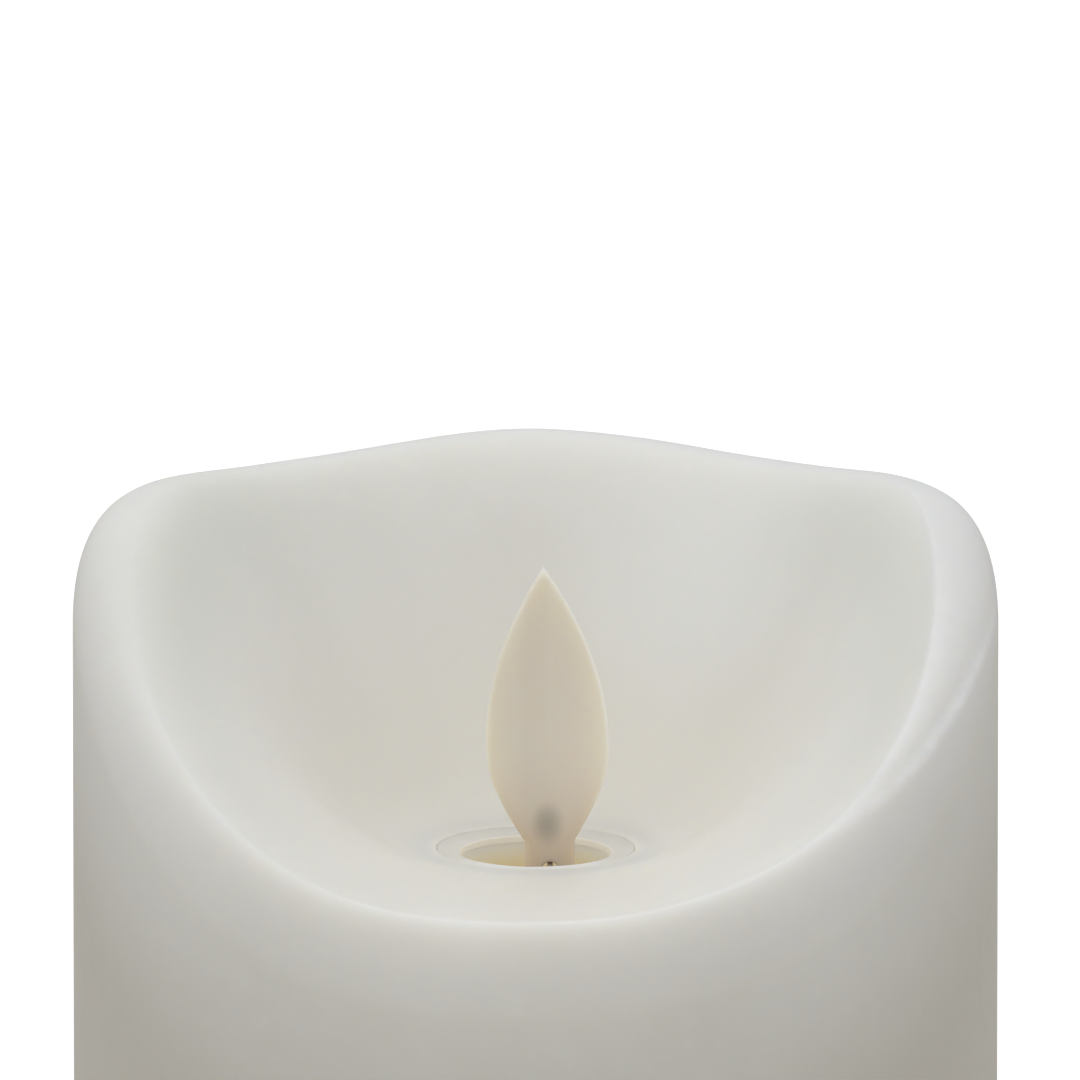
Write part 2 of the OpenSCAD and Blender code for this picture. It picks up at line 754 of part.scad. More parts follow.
module base_solid() {
    translate([0, 0, foot_h]) cylinder(r = base_r, h = base_t);
    ring(base_r - 0.4, base_r - 0.4 - foot_w, foot_h + eps);
    translate([0, 0, foot_h + eps]) linear_extrude(roof_top - foot_h - eps) case_outline();
    for (p = foot_at) translate([p.x, p.y, roof_top - foot_boss_h])
        cylinder(r = foot_r, h = mech_z - roof_top + foot_boss_h);
    board_rails();
}

module door_rebate() {
    x0 = hinge_x - hinge_r - hinge_gap;
    x1 = door_x + rebate_gap;
    translate([(x0 + x1) / 2, 0, 0]) rounded_plate((x1 - x0) / 2, door_y + rebate_gap,
        door_corner, foot_h - eps, door_z1 + rebate_gap / 2);
    translate([hinge_x, 0, 0]) block(2 * (hinge_r + hinge_gap), 2 * (door_y + rebate_gap),
        foot_h - eps, door_z1 + rebate_gap / 2);
    translate([hinge_x, 0, hinge_z]) rotate([90, 0, 0])
        cylinder(r = hinge_pin_r + pin_clear, h = 2 * (door_y + hinge_pin_len + pin_end_gap),
            center = true);
}

module latch_cuts() {
    x0 = door_x - latch_t - latch_gap;
    x1 = door_x + latch_hook + latch_gap;
    translate([(x0 + x1) / 2, 0, 0]) block(x1 - x0, latch_w + 2 * latch_side_gap,
        foot_h - eps, door_z1 + latch_h + latch_top_gap);
    translate([door_x + scoop_x, 0, foot_h - scoop_drop]) sphere(r = scoop_r);
}

module switch_cuts() {
    translate([0, switch_y, 0]) {
        block(knob_w + 2 * (switch_travel + knob_clear), knob_d + 2 * knob_clear,
            -eps, base_top + eps);
        block(switch_w + 4, knob_d + 4, -eps, foot_h + 0.6);
    }
}

module base_housing() {
    color("gainsboro") difference() {
        base_solid();
        translate([0, 0, foot_h]) battery_pockets();
        door_rebate();
        latch_cuts();
        switch_cuts();
        for (a = base_screw_at) rotate(a) translate([base_screw_r, 0, 0]) {
            cylinder(r = base_screw_d / 2 + base_screw_clear, h = base_top + eps);
            cylinder(r = base_screw_d + base_screw_clear, h = base_screw_seat);
        }
        for (p = foot_at) translate([p.x, p.y, mech_z - foot_screw_len])
            cylinder(r = small_screw_d / 2 + wire_clear, h = foot_screw_len + eps);
        for (s = [-1, 1]) translate([s * tab_x, 0, 0])
            block(contact_t + 2 * tab_slot_gap, tab_w + 2 * slip, roof_z - eps, roof_top + eps);
    }
}

module base_screws() {
    color("silver") for (a = base_screw_at) rotate(a)
        translate([base_screw_r, 0, base_screw_seat]) screw(base_screw_d, base_screw_len);
}

// ---------- Battery door and contacts ----------

module battery_door() {
    color("gainsboro") {
        intersection() {
            rounded_plate(door_x, door_y, door_corner, door_z0, door_z1);
            translate([hinge_x, -door_y - eps, 0])
                cube([2 * door_x, 2 * (door_y + eps), door_z1 + eps]);
        }
        translate([hinge_x, 0, hinge_z]) rotate([90, 0, 0]) {
            cylinder(r = hinge_r, h = 2 * (door_y - door_corner), center = true);
            cylinder(r = hinge_pin_r, h = 2 * (door_y + hinge_pin_len), center = true);
        }
        translate([door_x - latch_t / 2, 0, 0]) block(latch_t, latch_w, door_z0, door_z1 + latch_h);
        translate([door_x - eps, -latch_w / 2, door_z1 + latch_h - latch_hook_h])
            cube([eps + latch_hook, latch_w, latch_hook_h]);
    }
}

module bridge_plate() {
    color("silver") block(2 * (cell_x + contact_w / 2), contact_w, door_z1, bridge_z1);
}

// Spring that presses on the flat end of a cell
module cell_spring() {
    turns = 4;
    spring(contact_w / 2, contact_w / 3, spring_h, turns, spring_wire);
}

module bridge_spring() {
    color("silver") translate([-cell_x, 0, bridge_z1])
        cell_spring();
}

module negative_spring() {
    color("silver") translate([cell_x, 0, contact_z]) mirror([0, 0, 1])
        cell_spring();
}

module contact(side) {
    inner_x = cell_x - contact_w / 2;
    outer_x = tab_x + contact_t / 2;
    color("silver") {
        translate([side * (inner_x + outer_x) / 2, 0, 0])
            block(outer_x - inner_x, contact_w, contact_z, contact_z + contact_t);
        translate([side * tab_x, 0, 0]) block(contact_t, tab_w, contact_z, tab_top());
    }
}

module positive_contact() {
    contact(-1);
}

module negative_contact() {
    contact(1);
}

// A cell standing on its flat end, with its nub up
module cell() {
    cylinder(d = cell_d, h = cell_len - nub_h);
    cylinder(d = nub_d, h = cell_len);
}

module battery_cell_left() {
    color("dimgray") translate([-cell_x, 0, cell_high_z]) cell();
}

module battery_cell_right() {
    color("dimgray") translate([cell_x, 0, cell_low_z + cell_len]) mirror([0, 0, 1]) cell();
}

// ---------- Control board ----------

module main_board() {
    color("seagreen") translate([0, board_y + board_t / 2, 0])
        block(board_w, board_t, board_z, board_z + board_h);
}

// Puts a part on the back of the board, with +Z out of the board
module on_board(at) {
    translate([at.x, board_back + fit, board_z + at.y]) rotate([-90, 0, 0]) children();
}

module controller_chip() {
    pins = 7;
    pitch = 1.27;
    pin_w = 0.4;
    stand_off = 0.15;
    color("dimgray") on_board(chip_at) {
        block(8.7, 3.9, stand_off, 1.6);
        for (i = [0 : pins - 1]) translate([(i - (pins - 1) / 2) * pitch, 0, 0])
            block(pin_w, 6, 0, pin_w);
    }
}

module filter_capacitor() {
    color("midnightblue") on_board(capacitor_at) cylinder(d = 5, h = 7.5);
}

module boost_inductor() {
    color("dimgray") on_board(inductor_at) {
        for (z = [0, 4]) translate([0, 0, z]) cylinder(d = 6, h = 1);
        cylinder(d = 4, h = 5);
    }
}

module drive_transistors() {
    color("dimgray") for (s = [-1, 1]) on_board([s * transistor_at.x, transistor_at.y]) {
        block(2.9, 1.3, 0.1, 1.1);
        for (p = [[-0.95, 0.9], [0.95, 0.9], [0, -0.9]]) translate(p) block(0.4, 1, 0, 0.3);
    }
}

module board_resistors() {
    color("black") for (i = [0 : resistor_n - 1])
        on_board(resistor_at + [i * resistor_pitch, 0]) block(1.25, 2, 0, 0.55);
}

module board_connectors() {
    wall = 0.7;
    color("white") for (s = [-1, 1]) translate([s * connector_x, board_back + fit + connector_d / 2, 0])
        difference() {
            block(connector_w, connector_d, connector_z, connector_z + connector_h);
            block(connector_w - 2 * wall, connector_d - 2 * wall, connector_z + wall,
                connector_z + connector_h + eps);
        }
}

module slide_switch() {
    color("silver") translate([0, switch_y, 0]) difference() {
        block(switch_w, switch_d, switch_z, switch_z + switch_h);
        block(stem_w + 2 * (switch_travel + knob_clear), stem_d + 2 * knob_clear,
            switch_z - eps, switch_z + stem_h + knob_clear);
    }
}

module switch_knob() {
    neck_z = base_top + knob_clear;
    color("black") translate([0, switch_y, 0]) {
        block(knob_w, knob_d, knob_z0, neck_z);
        block(stem_w, stem_d, knob_z0, switch_z + stem_h);
    }
}

// ---------- Wiring ----------

module battery_wire_red() {
    color("red") lead(red_route, lead_d);
}

module battery_wire_black() {
    color("black") lead(black_route, lead_d);
}

module pair(route, d, gap) {
    for (s = [-1, 1]) lead([for (p = route) p + [0, 0, s * gap / 2]], d);
}

module led_wires() {
    color("white") pair(led_route, coil_lead_d, pair_gap);
}

module coil_wires() {
    color("peru") pair(coil_route, coil_lead_d, pair_gap);
}

wax_shell();
inner_liner();
flame_collar();
flame_petal();
flame_magnet();
pivot_wire();
housing_front();
housing_back();
housing_screws();
mechanism_screws();
coil_bobbin();
coil_winding();
led_holder();
led_bulb();
led_leads();
base_housing();
base_screws();
battery_door();
bridge_plate();
bridge_spring();
battery_cell_left();
battery_cell_right();
positive_contact();
negative_contact();
negative_spring();
main_board();
controller_chip();
filter_capacitor();
boost_inductor();
drive_transistors();
board_resistors();
board_connectors();
slide_switch();
switch_knob();
battery_wire_red();
battery_wire_black();
led_wires();
coil_wires();
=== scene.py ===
"""The looks of the moving-flame pillar candle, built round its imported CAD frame.

Lengths are in metres and angles in radians. The candle stands on Z = 0 and its front faces -Y.
"""
import json
import math

import bmesh
import bpy
import numpy as np
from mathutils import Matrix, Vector, noise

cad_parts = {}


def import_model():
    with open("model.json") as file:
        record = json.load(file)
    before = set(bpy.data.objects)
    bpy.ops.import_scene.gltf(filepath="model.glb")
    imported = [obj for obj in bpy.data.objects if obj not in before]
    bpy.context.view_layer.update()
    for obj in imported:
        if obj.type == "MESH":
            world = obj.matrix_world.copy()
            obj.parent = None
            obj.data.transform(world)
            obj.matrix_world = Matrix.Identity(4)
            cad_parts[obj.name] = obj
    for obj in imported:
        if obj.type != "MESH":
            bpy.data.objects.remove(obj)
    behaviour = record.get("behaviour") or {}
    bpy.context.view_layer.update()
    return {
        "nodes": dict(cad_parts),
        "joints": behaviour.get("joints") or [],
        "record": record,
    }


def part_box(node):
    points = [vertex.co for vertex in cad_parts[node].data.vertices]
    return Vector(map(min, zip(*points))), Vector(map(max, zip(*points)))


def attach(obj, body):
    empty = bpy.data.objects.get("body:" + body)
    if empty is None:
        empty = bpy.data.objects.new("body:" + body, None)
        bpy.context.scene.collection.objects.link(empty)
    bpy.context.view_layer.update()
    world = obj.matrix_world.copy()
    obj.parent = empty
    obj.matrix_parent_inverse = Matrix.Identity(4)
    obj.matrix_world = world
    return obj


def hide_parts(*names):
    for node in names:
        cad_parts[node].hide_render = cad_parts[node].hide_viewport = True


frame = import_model()

MM = 0.001
NODES = frame["nodes"]
JOINTS = {joint["name"]: joint for joint in frame["joints"]}
SLOT_OF = {row["node"]: row["material_slot"] for row in frame["record"]["subparts"]}
BODY_OF = {node: body for body, members in frame["record"]["behaviour"]["bodies"].items()
           for node in members}

# ---------- Sizes read from the frame ----------

wax_low, wax_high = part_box("wax_shell")
collar_low, collar_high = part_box("flame_collar")
liner_low, liner_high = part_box("inner_liner")
base_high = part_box("base_housing")[1]

PILLAR_R = wax_high.x
COLLAR_DISH = 0.35 * MM      # from the collar's rim down to its inner edge
COLLAR_W = 2.25 * MM
LIP_Z = collar_high.z - COLLAR_DISH
HOLE_R = collar_high.x + 0.1 * MM
COLLAR_OUT_R = collar_high.x
COLLAR_IN_R = COLLAR_OUT_R - COLLAR_W
PIVOT = Vector(JOINTS["flame_swing"]["pos_m"])

# ---------- The melted top, the same rules as the CAD model's ----------

SWELL_H = 1.0 * MM
SWELL_AT, SWELL_REACH = math.radians(30), math.radians(20)
CREST_H = wax_high.z - LIP_Z
FRONT_H = 2.2 * MM
CREST_DIP = 1.5 * MM
RISE_ANGLE = math.radians(108)
RISE_POWER = 3.0
LIP_W = (3.0 * MM, 7.0 * MM)          # at the front, at the sides and back
LIP_DROP = (9.0 * MM, 7.5 * MM)
LIP_POWER = (1.45, 2.3)
BOWL_BIAS = (0.6, 1.25)
FLOOR_STEP = 0.6 * MM
FLOOR_TILT = math.radians(3)


def bump_at(x, middle, reach):
    return np.exp(-((x - middle) / reach) ** 2)


def lip_turn(phi):
    """0 at the front, a right angle from the sides backwards."""
    return np.minimum(np.abs(phi) * (math.pi / 2) / RISE_ANGLE, math.pi / 2)


def lip_height(phi):
    """Height of the lip's ridge over the collar's opening."""
    behind = np.clip((np.abs(phi) - RISE_ANGLE) / (math.pi - RISE_ANGLE), 0, 1)
    rise = FRONT_H + (CREST_H - FRONT_H) * np.sin(lip_turn(phi)) ** RISE_POWER
    swell = SWELL_H * bump_at(phi, SWELL_AT, SWELL_REACH)
    return rise - CREST_DIP * np.sin(math.pi * behind) ** 2 + swell


def lip_mix(pair, phi, power=6):
    """From the pair's first value at the front to its second at the sides and back."""
    return pair[0] + (pair[1] - pair[0]) * np.sin(lip_turn(phi)) ** power


def smooth(t):
    return t * t * (3 - 2 * t)


def clamped(value):
    return min(max(value, 0), 1)


# ---------- Flame sizes ----------

FLAME_W = 11.9 * MM
FLAME_T = 2.2 * MM
FLAME_EDGE_T = 0.6 * MM
NECK_W = 4.8 * MM
BELLY_H = 11.5 * MM
FLAME_TOP = 29.1 * MM
FLAME_ROOT = 0.2 * BELLY_H
TAIL_LEN = 22.2 * MM
TAIL_TURN = 4 * MM
FLAME_LEAN = math.radians(1.25)
MAGNET_R = 3 * MM
MAGNET_T = 3 * MM
PIVOT_HOLE_R = 0.75 * MM
WIRE_GAP = 0.31 * MM         # from the wire's axis to the top of the hole
MAGNET_GAP = 0.05 * MM
CUP_WALL = 0.7 * MM          # round the magnet
TIP_R = 0.06 * MM
TIP_H = 1.2 * MM             # height of the pale tip
RIM_FROM = 0.91              # where the pale rim starts, as a share of the half width

# ---------- Other sizes ----------

AXIS_R = 0.02 * MM           # how near to the axis a turned profile ends
COLLAR_SOFT = 0.16 * MM      # rounding of the collar's inner edge
COLLAR_BEAD_H = 0.2 * MM
WINDING_IN_R = 3.25 * MM


# ---------- Mesh helpers ----------

def new_object(name, mesh):
    obj = bpy.data.objects.new(name, mesh)
    bpy.context.scene.collection.objects.link(obj)
    return obj


def shade(mesh, sharp=math.radians(35)):
    for polygon in mesh.polygons:
        polygon.use_smooth = True
    mesh.set_sharp_from_angle(angle=sharp)


def mesh_from(name, points, faces, sharp=math.radians(35)):
    mesh = bpy.data.meshes.new(name)
    mesh.from_pydata([tuple(p) for p in points], [], faces)
    bm = bmesh.new()
    bm.from_mesh(mesh)
    bmesh.ops.recalc_face_normals(bm, faces=bm.faces)
    bm.to_mesh(mesh)
    bm.free()
    mesh.update()
    shade(mesh, sharp)
    return mesh


def grid_faces(rows, columns, closed_rows):
    faces = []
    for i in range(rows if closed_rows else rows - 1):
        for j in range(columns):
            k = (j + 1) % columns
            m = (i + 1) % rows
            faces.append((i * columns + j, i * columns + k, m * columns + k, m * columns + j))
    return faces


def rings_object(name, rings, closed=False, sharp=math.radians(35)):
    """A solid through rings of points: closed rings join end to end, open ones get flat caps."""
    rows, columns, _ = rings.shape
    faces = grid_faces(rows, columns, closed)
    if not closed:
        faces.append(tuple(range(columns)))
        faces.append(tuple(range((rows - 1) * columns, rows * columns)))
    return new_object(name, mesh_from(name, rings.reshape(-1, 3), faces, sharp))


def circle_points(count):
    return np.arange(count) * 2 * math.pi / count


def revolved(name, profile, centre=(0, 0, 0), count=96, closed=True, sharp=math.radians(35)):
    """Turns a list of (radius, height) pairs round the Z axis."""
    angle = circle_points(count)
    rings = np.array([np.stack([centre[0] + r * np.cos(angle), centre[1] + r * np.sin(angle),
                                np.full(count, centre[2] + z)], 1) for r, z in profile])
    return rings_object(name, rings, closed, sharp)


def tube(name, path, radius, sides=12):
    """A round tube along a list of points."""
    path = np.array(path, float)
    along = np.gradient(path, axis=0)
    along /= np.linalg.norm(along, axis=1)[:, None]
    across = np.cross(along, (0.21, 0.13, 0.97))
    across /= np.linalg.norm(across, axis=1)[:, None]
    third = np.cross(along, across)
    angle = circle_points(sides)
    rings = (path[:, None] + radius * (np.cos(angle)[None, :, None] * across[:, None]
                                       + np.sin(angle)[None, :, None] * third[:, None]))
    return rings_object(name, rings, sharp=math.radians(60))


def applied(obj):
    """Bakes an object's modifiers into its mesh."""
    depsgraph = bpy.context.evaluated_depsgraph_get()
    mesh = bpy.data.meshes.new_from_object(obj.evaluated_get(depsgraph))
    obj.modifiers.clear()
    obj.data = mesh


def cut(obj, tools, operation="DIFFERENCE"):
    for tool in tools:
        modifier = obj.modifiers.new("cut", "BOOLEAN")
        modifier.operation = operation
        modifier.solver = "EXACT"
        modifier.object = tool
        applied(obj)
        bpy.data.objects.remove(tool)


def paint(obj, name, values):
    """Stores one number at each vertex for a material to read."""
    layer = obj.data.attributes.new(name, "FLOAT", "POINT")
    layer.data.foreach_set("value", np.asarray(values, dtype=np.float32))


def place(obj, node):
    """Puts a finished piece on a CAD node's body, in that node's place."""
    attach(obj, BODY_OF[node])
    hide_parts(node)
    return obj


def trim(obj, node):
    """Puts an extra piece on the body of a CAD node, which stays."""
    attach(obj, BODY_OF[node])


def refined(node, width):
    """Stands a copy of a CAD node with merged flats and rounded edges in the node's place."""
    mesh = NODES[node].data.copy()
    mesh.materials.clear()
    bm = bmesh.new()
    bm.from_mesh(mesh)
    bmesh.ops.remove_doubles(bm, verts=bm.verts, dist=1e-7)
    bmesh.ops.dissolve_limit(bm, angle_limit=math.radians(0.4), verts=bm.verts, edges=bm.edges)
    bm.to_mesh(mesh)
    bm.free()
    obj = new_object(node + "_finished", mesh)
    bevel = obj.modifiers.new("edges", "BEVEL")
    bevel.width = width
    bevel.segments = 2
    bevel.limit_method = "ANGLE"
    bevel.angle_limit = math.radians(30)
    bevel.use_clamp_overlap = True
    applied(obj)
    shade(obj.data)
    return place(obj, node)


# ---------- Material helpers ----------

class Shader:
    """A material's node tree with short ways to add the nodes that the finishes share."""

    def __init__(self, name, colour, roughness, **sockets):
        self.material = bpy.data.materials.new(name)
        self.material.use_nodes = True
        self.tree = self.material.node_tree
        self.surface = self.tree.nodes["Principled BSDF"]
        self.surface.inputs["Base Color"].default_value = (*colour, 1)
        self.surface.inputs["Roughness"].default_value = roughness
        for socket, value in sockets.items():
            self.surface.inputs[socket.replace("_", " ")].default_value = value
        self.where = self.add("ShaderNodeTexCoord").outputs["Object"]

    def add(self, kind, **settings):
        node = self.tree.nodes.new(kind)
        for key, value in settings.items():
            setattr(node, key, value)
        return node

    def link(self, output, target):
        self.tree.links.new(output, target)

    def feed(self, node, **values):
        for key, value in values.items():
            socket = node.inputs[key.replace("_", " ")]
            if isinstance(value, bpy.types.NodeSocket):
                self.link(value, socket)
            else:
                socket.default_value = value
        return node

    def stretched(self, scale):
        node = self.add("ShaderNodeMapping")
        return self.feed(node, Vector=self.where, Scale=scale).outputs["Vector"]

    def noise(self, scale, detail=4.0, rough=0.55, where=None):
        node = self.add("ShaderNodeTexNoise")
        self.feed(node, Vector=where or self.where, Scale=scale, Detail=detail, Roughness=rough)
        return node.outputs["Fac"]

    def cells(self, scale):
        node = self.add("ShaderNodeTexVoronoi", feature="F1")
        return self.feed(node, Vector=self.where, Scale=scale).outputs["Distance"]

    def waves(self, scale, axis, distortion=0.0):
        node = self.add("ShaderNodeTexWave", bands_direction=axis)
        return self.feed(node, Vector=self.where, Scale=scale,
                         Distortion=distortion).outputs["Fac"]

    def spread(self, value, low, high, to_low=0.0, to_high=1.0):
        node = self.add("ShaderNodeMapRange", interpolation_type="SMOOTHSTEP")
        self.feed(node, Value=value, From_Min=low, From_Max=high, To_Min=to_low, To_Max=to_high)
        return node.outputs["Result"]

    def maths(self, operation, a, b):
        node = self.add("ShaderNodeMath", operation=operation)
        for socket, value in zip(node.inputs, (a, b)):
            if isinstance(value, bpy.types.NodeSocket):
                self.link(value, socket)
            else:
                socket.default_value = value
        return node.outputs[0]

    def height(self, axis="Z"):
        node = self.add("ShaderNodeSeparateXYZ")
        self.link(self.where, node.inputs[0])
        return node.outputs[axis]

    def distance(self, point, scale=(1, 1, 1)):
        node = self.add("ShaderNodeVectorMath", operation="DISTANCE")
        self.link(self.stretched(scale), node.inputs[0])
        node.inputs[1].default_value = [p * s for p, s in zip(point, scale)]
        return node.outputs["Value"]

    def attribute(self, name):
        return self.add("ShaderNodeAttribute", attribute_name=name).outputs["Fac"]

    def mixed(self, factor, a, b):
        node = self.add("ShaderNodeMix", data_type="RGBA")
        for key, value in zip((0, 6, 7), (factor, a, b)):
            if isinstance(value, bpy.types.NodeSocket):
                self.link(value, node.inputs[key])
            elif key == 0:
                node.inputs[key].default_value = value
            else:
                node.inputs[key].default_value = (*value, 1)
        return node.outputs[2]

    def colour(self, output):
        self.link(output, self.surface.inputs["Base Color"])

    def rough(self, output):
        self.link(output, self.surface.inputs["Roughness"])

    def relief(self, *layers):
        """Stacks bumps, each given as (height from 0 to 1, depth in metres)."""
        normal = None
        for height, depth in layers:
            node = self.add("ShaderNodeBump")
            self.feed(node, Height=height, Distance=depth, Strength=1.0)
            if normal:
                self.link(normal, node.inputs["Normal"])
            normal = node.outputs["Normal"]
        self.link(normal, self.surface.inputs["Normal"])


WAX_DULL, WAX_PALE = (0.735, 0.728, 0.688), (0.765, 0.760, 0.728)
WAX_FROST = (0.79, 0.785, 0.762)
WAX_WARM_GLOW = (0.835, 0.800, 0.722)
WAX_LIT_PATCH = (0.825, 0.825, 0.80)
WAX_HOLLOW_SHADE = (0.675, 0.685, 0.635)
WAX_LIP_SHADE = (0.705, 0.707, 0.717)
WAX_WALL_SHADE = (0.622, 0.598, 0.540)
WAX_SCRAPED_SHEEN = (0.84, 0.84, 0.85)
WAX_SPECK = (0.86, 0.855, 0.83)
WARM_MIDDLE = (0, -4 * MM, LIP_Z + 4 * MM)
# Middle of a painted highlight, a pale patch of painted light on the bowl's back.
LIT_PATCH_MIDDLE = (15 * MM, 22 * MM, LIP_Z + 23 * MM)   # paler patch high on the bowl's back


def wax_finish():
    """Wax with light inside it, and with painted light and shade: a painted warm glow by the flame,
    a painted pale patch high on the bowl's back, painted shade in the side lips, on the lip and
    darker down the wall, and a scrape painted paler, partly as a highlight.
    """
    s = Shader("cast_wax", (0.74, 0.73, 0.70), 0.42, Subsurface_Weight=1.0,
               Subsurface_Radius=(1.0, 0.9, 0.7), Subsurface_Scale=6.0 * MM, IOR=1.44)
    cloud = s.noise(38, detail=3)
    frost = s.noise(420, detail=5, rough=0.65)
    tone = s.mixed(s.spread(cloud, 0.35, 0.68), WAX_DULL, WAX_PALE)
    tone = s.mixed(s.maths("MULTIPLY", s.spread(frost, 0.45, 0.75), 0.35), tone, WAX_FROST)
    # Painted warm light: the wax round the flame is tinted warmer, standing in for light that soaks
    # through the thin wax and bounces round the bowl.
    from_flame = s.distance(WARM_MIDDLE, (1, 0.8, 0.8))
    tone = s.mixed(s.spread(from_flame, 8 * MM, 44 * MM, 0.85, 0.0), tone, WAX_WARM_GLOW)
    # Painted light: a paler patch high on the bowl's back.
    from_lit_patch = s.distance(LIT_PATCH_MIDDLE)
    tone = s.mixed(s.spread(from_lit_patch, 3 * MM, 17 * MM, 0.7, 0.0), tone, WAX_LIT_PATCH)
    # Painted shade: the wax inside the side lips is made greyer, where shade falls.
    tone = s.mixed(s.attribute("hollow_shade"), tone, WAX_HOLLOW_SHADE)
    # Painted shade: the lip faces get a cooler, darker tone, strongest on the sides and the right,
    # for how the light falls on them.
    tone = s.mixed(s.maths("MULTIPLY", s.attribute("lip_shade"), 0.7), tone, WAX_LIP_SHADE)
    # Painted shade: the outer wall darkens with depth below the lip, standing in for the light in
    # the lip fading down the wall.
    tone = s.mixed(s.attribute("wall_shade_depth"), tone, WAX_WALL_SHADE)
    from_axis = s.distance((0, 0, 0), (1, 1, 0))
    s.link(s.spread(from_axis, HOLE_R, HOLE_R + 1.6 * MM, 0.05, 1.0),
           s.surface.inputs["Subsurface Weight"])
    # The band along the crease is painted paler: partly the paler colour of the scrape, partly a
    # painted highlight.
    scuff_and_sheen = s.maths("MULTIPLY", s.attribute("scraped_and_sheen"), s.spread(s.noise(500), 0.3, 0.6, 0.45, 0.9))
    tone = s.mixed(scuff_and_sheen, tone, WAX_SCRAPED_SHEEN)
    pits = s.spread(s.cells(240), 0.0, 0.10, 1.0, 0.0)
    rare = s.spread(s.noise(55, detail=1), 0.60, 0.66)
    specks = s.maths("MULTIPLY", pits, rare)
    s.colour(s.mixed(s.maths("MULTIPLY", specks, 0.5), tone, WAX_SPECK))
    s.rough(s.spread(frost, 0.3, 0.8, 0.36, 0.52))
    s.relief((s.noise(120, detail=4), 0.05 * MM), (s.noise(1400, detail=3), 0.012 * MM),
             (specks, 0.05 * MM))
    return s.material


FLAME_DULL, FLAME_PALE = (0.765, 0.727, 0.648), (0.80, 0.770, 0.697)
FLAME_SIDE_SHADE = (0.65, 0.61, 0.53)
FLAME_LOW = (0.66, 0.585, 0.48)
FLAME_RIM_HIGHLIGHT = (0.88, 0.87, 0.85)
SMUDGE = (0.24, 0.225, 0.185)
SMUDGE_MIDDLE = PIVOT + Vector((-0.3 * MM, 0, 4.1 * MM))
BORE_SHADE = (0.60, 0.47, 0.33)
BORE_EDGE_SHADE = (0.30, 0.21, 0.13)


def flame_finish():
    """Frosted plastic with faint streaks, a browner neck and the smudge on it, a pale rim that is
    partly a painted highlight, and painted shade on the left side and in and round the pivot's hole.
    """
    s = Shader("frosted_flame", (0.78, 0.74, 0.64), 0.36, Subsurface_Weight=1.0,
               Subsurface_Radius=(1.0, 0.8, 0.52), Subsurface_Scale=2.2 * MM, IOR=1.49)
    streak = s.noise(1.0, detail=2, where=s.stretched((330, 330, 14)))
    grain = s.noise(1500, detail=4)
    tone = s.mixed(s.spread(streak, 0.36, 0.68), FLAME_DULL, FLAME_PALE)
    # Painted shade: the left side of the flame is made darker, for how the light falls across it.
    side = s.spread(s.height("X"), PIVOT.x - FLAME_W / 2, PIVOT.x + FLAME_W / 2, 0.5, 0.0)
    tone = s.mixed(side, tone, FLAME_SIDE_SHADE)
    low = s.spread(s.height(), PIVOT.z - 1 * MM, PIVOT.z + 12 * MM, 0.95, 0.0)
    tone = s.mixed(low, tone, FLAME_LOW)
    # The pale rim: partly the thin plastic, partly a painted highlight on the right rim and the tip.
    tone = s.mixed(s.maths("MULTIPLY", s.attribute("thin_edge_and_highlight"), 0.65), tone, FLAME_RIM_HIGHLIGHT)
    from_smudge = s.distance(SMUDGE_MIDDLE, (1.0, 0.45, 0.72))
    tone = s.mixed(s.spread(from_smudge, 0.1 * MM, 2.0 * MM, 0.58, 0.0), tone, SMUDGE)
    # Painted shade: a dark arc round the pivot's hole and a browner inside, where shade falls in the
    # hole.
    bore = s.distance((PIVOT.x, 0, PIVOT.z + WIRE_GAP - PIVOT_HOLE_R), (1, 0, 1))
    shade_arc = s.maths("MULTIPLY", s.spread(bore, PIVOT_HOLE_R - 0.1 * MM, PIVOT_HOLE_R),
                  s.spread(bore, PIVOT_HOLE_R + 0.1 * MM, PIVOT_HOLE_R + 0.3 * MM, 0.4, 0.0))
    inside = s.maths("MULTIPLY", s.spread(bore, PIVOT_HOLE_R, PIVOT_HOLE_R + 0.05 * MM, 1.0, 0.0),
                     s.spread(s.height(), PIVOT.z - 2 * MM, PIVOT.z - 1.5 * MM))
    tone = s.mixed(inside, tone, BORE_SHADE)
    s.colour(s.mixed(shade_arc, tone, BORE_EDGE_SHADE))
    s.rough(s.spread(grain, 0.3, 0.7, 0.30, 0.44))
    s.relief((streak, 0.04 * MM), (grain, 0.006 * MM))
    return s.material


def moulded_finish(name, colour, roughness=0.42, grain=900, depth=0.012, glow=0.0):
    """Injection-moulded plastic: a spark-eroded grain, cloudy tones and, with glow, light inside."""
    s = Shader(name, colour, roughness, Subsurface_Weight=glow,
               Subsurface_Radius=(1.0, 0.8, 0.5), Subsurface_Scale=1.5 * MM, IOR=1.48)
    eroded = s.noise(grain, detail=5, rough=0.6)
    cloud = s.noise(60, detail=2)
    dark = tuple(0.93 * c for c in colour)
    light = tuple(min(1.05 * c, 0.95) for c in colour)
    s.colour(s.mixed(s.spread(cloud, 0.3, 0.7), dark, light))
    s.rough(s.spread(eroded, 0.25, 0.75, roughness - 0.07, roughness + 0.1))
    s.relief((eroded, depth * MM), (cloud, 0.03 * MM))
    return s.material


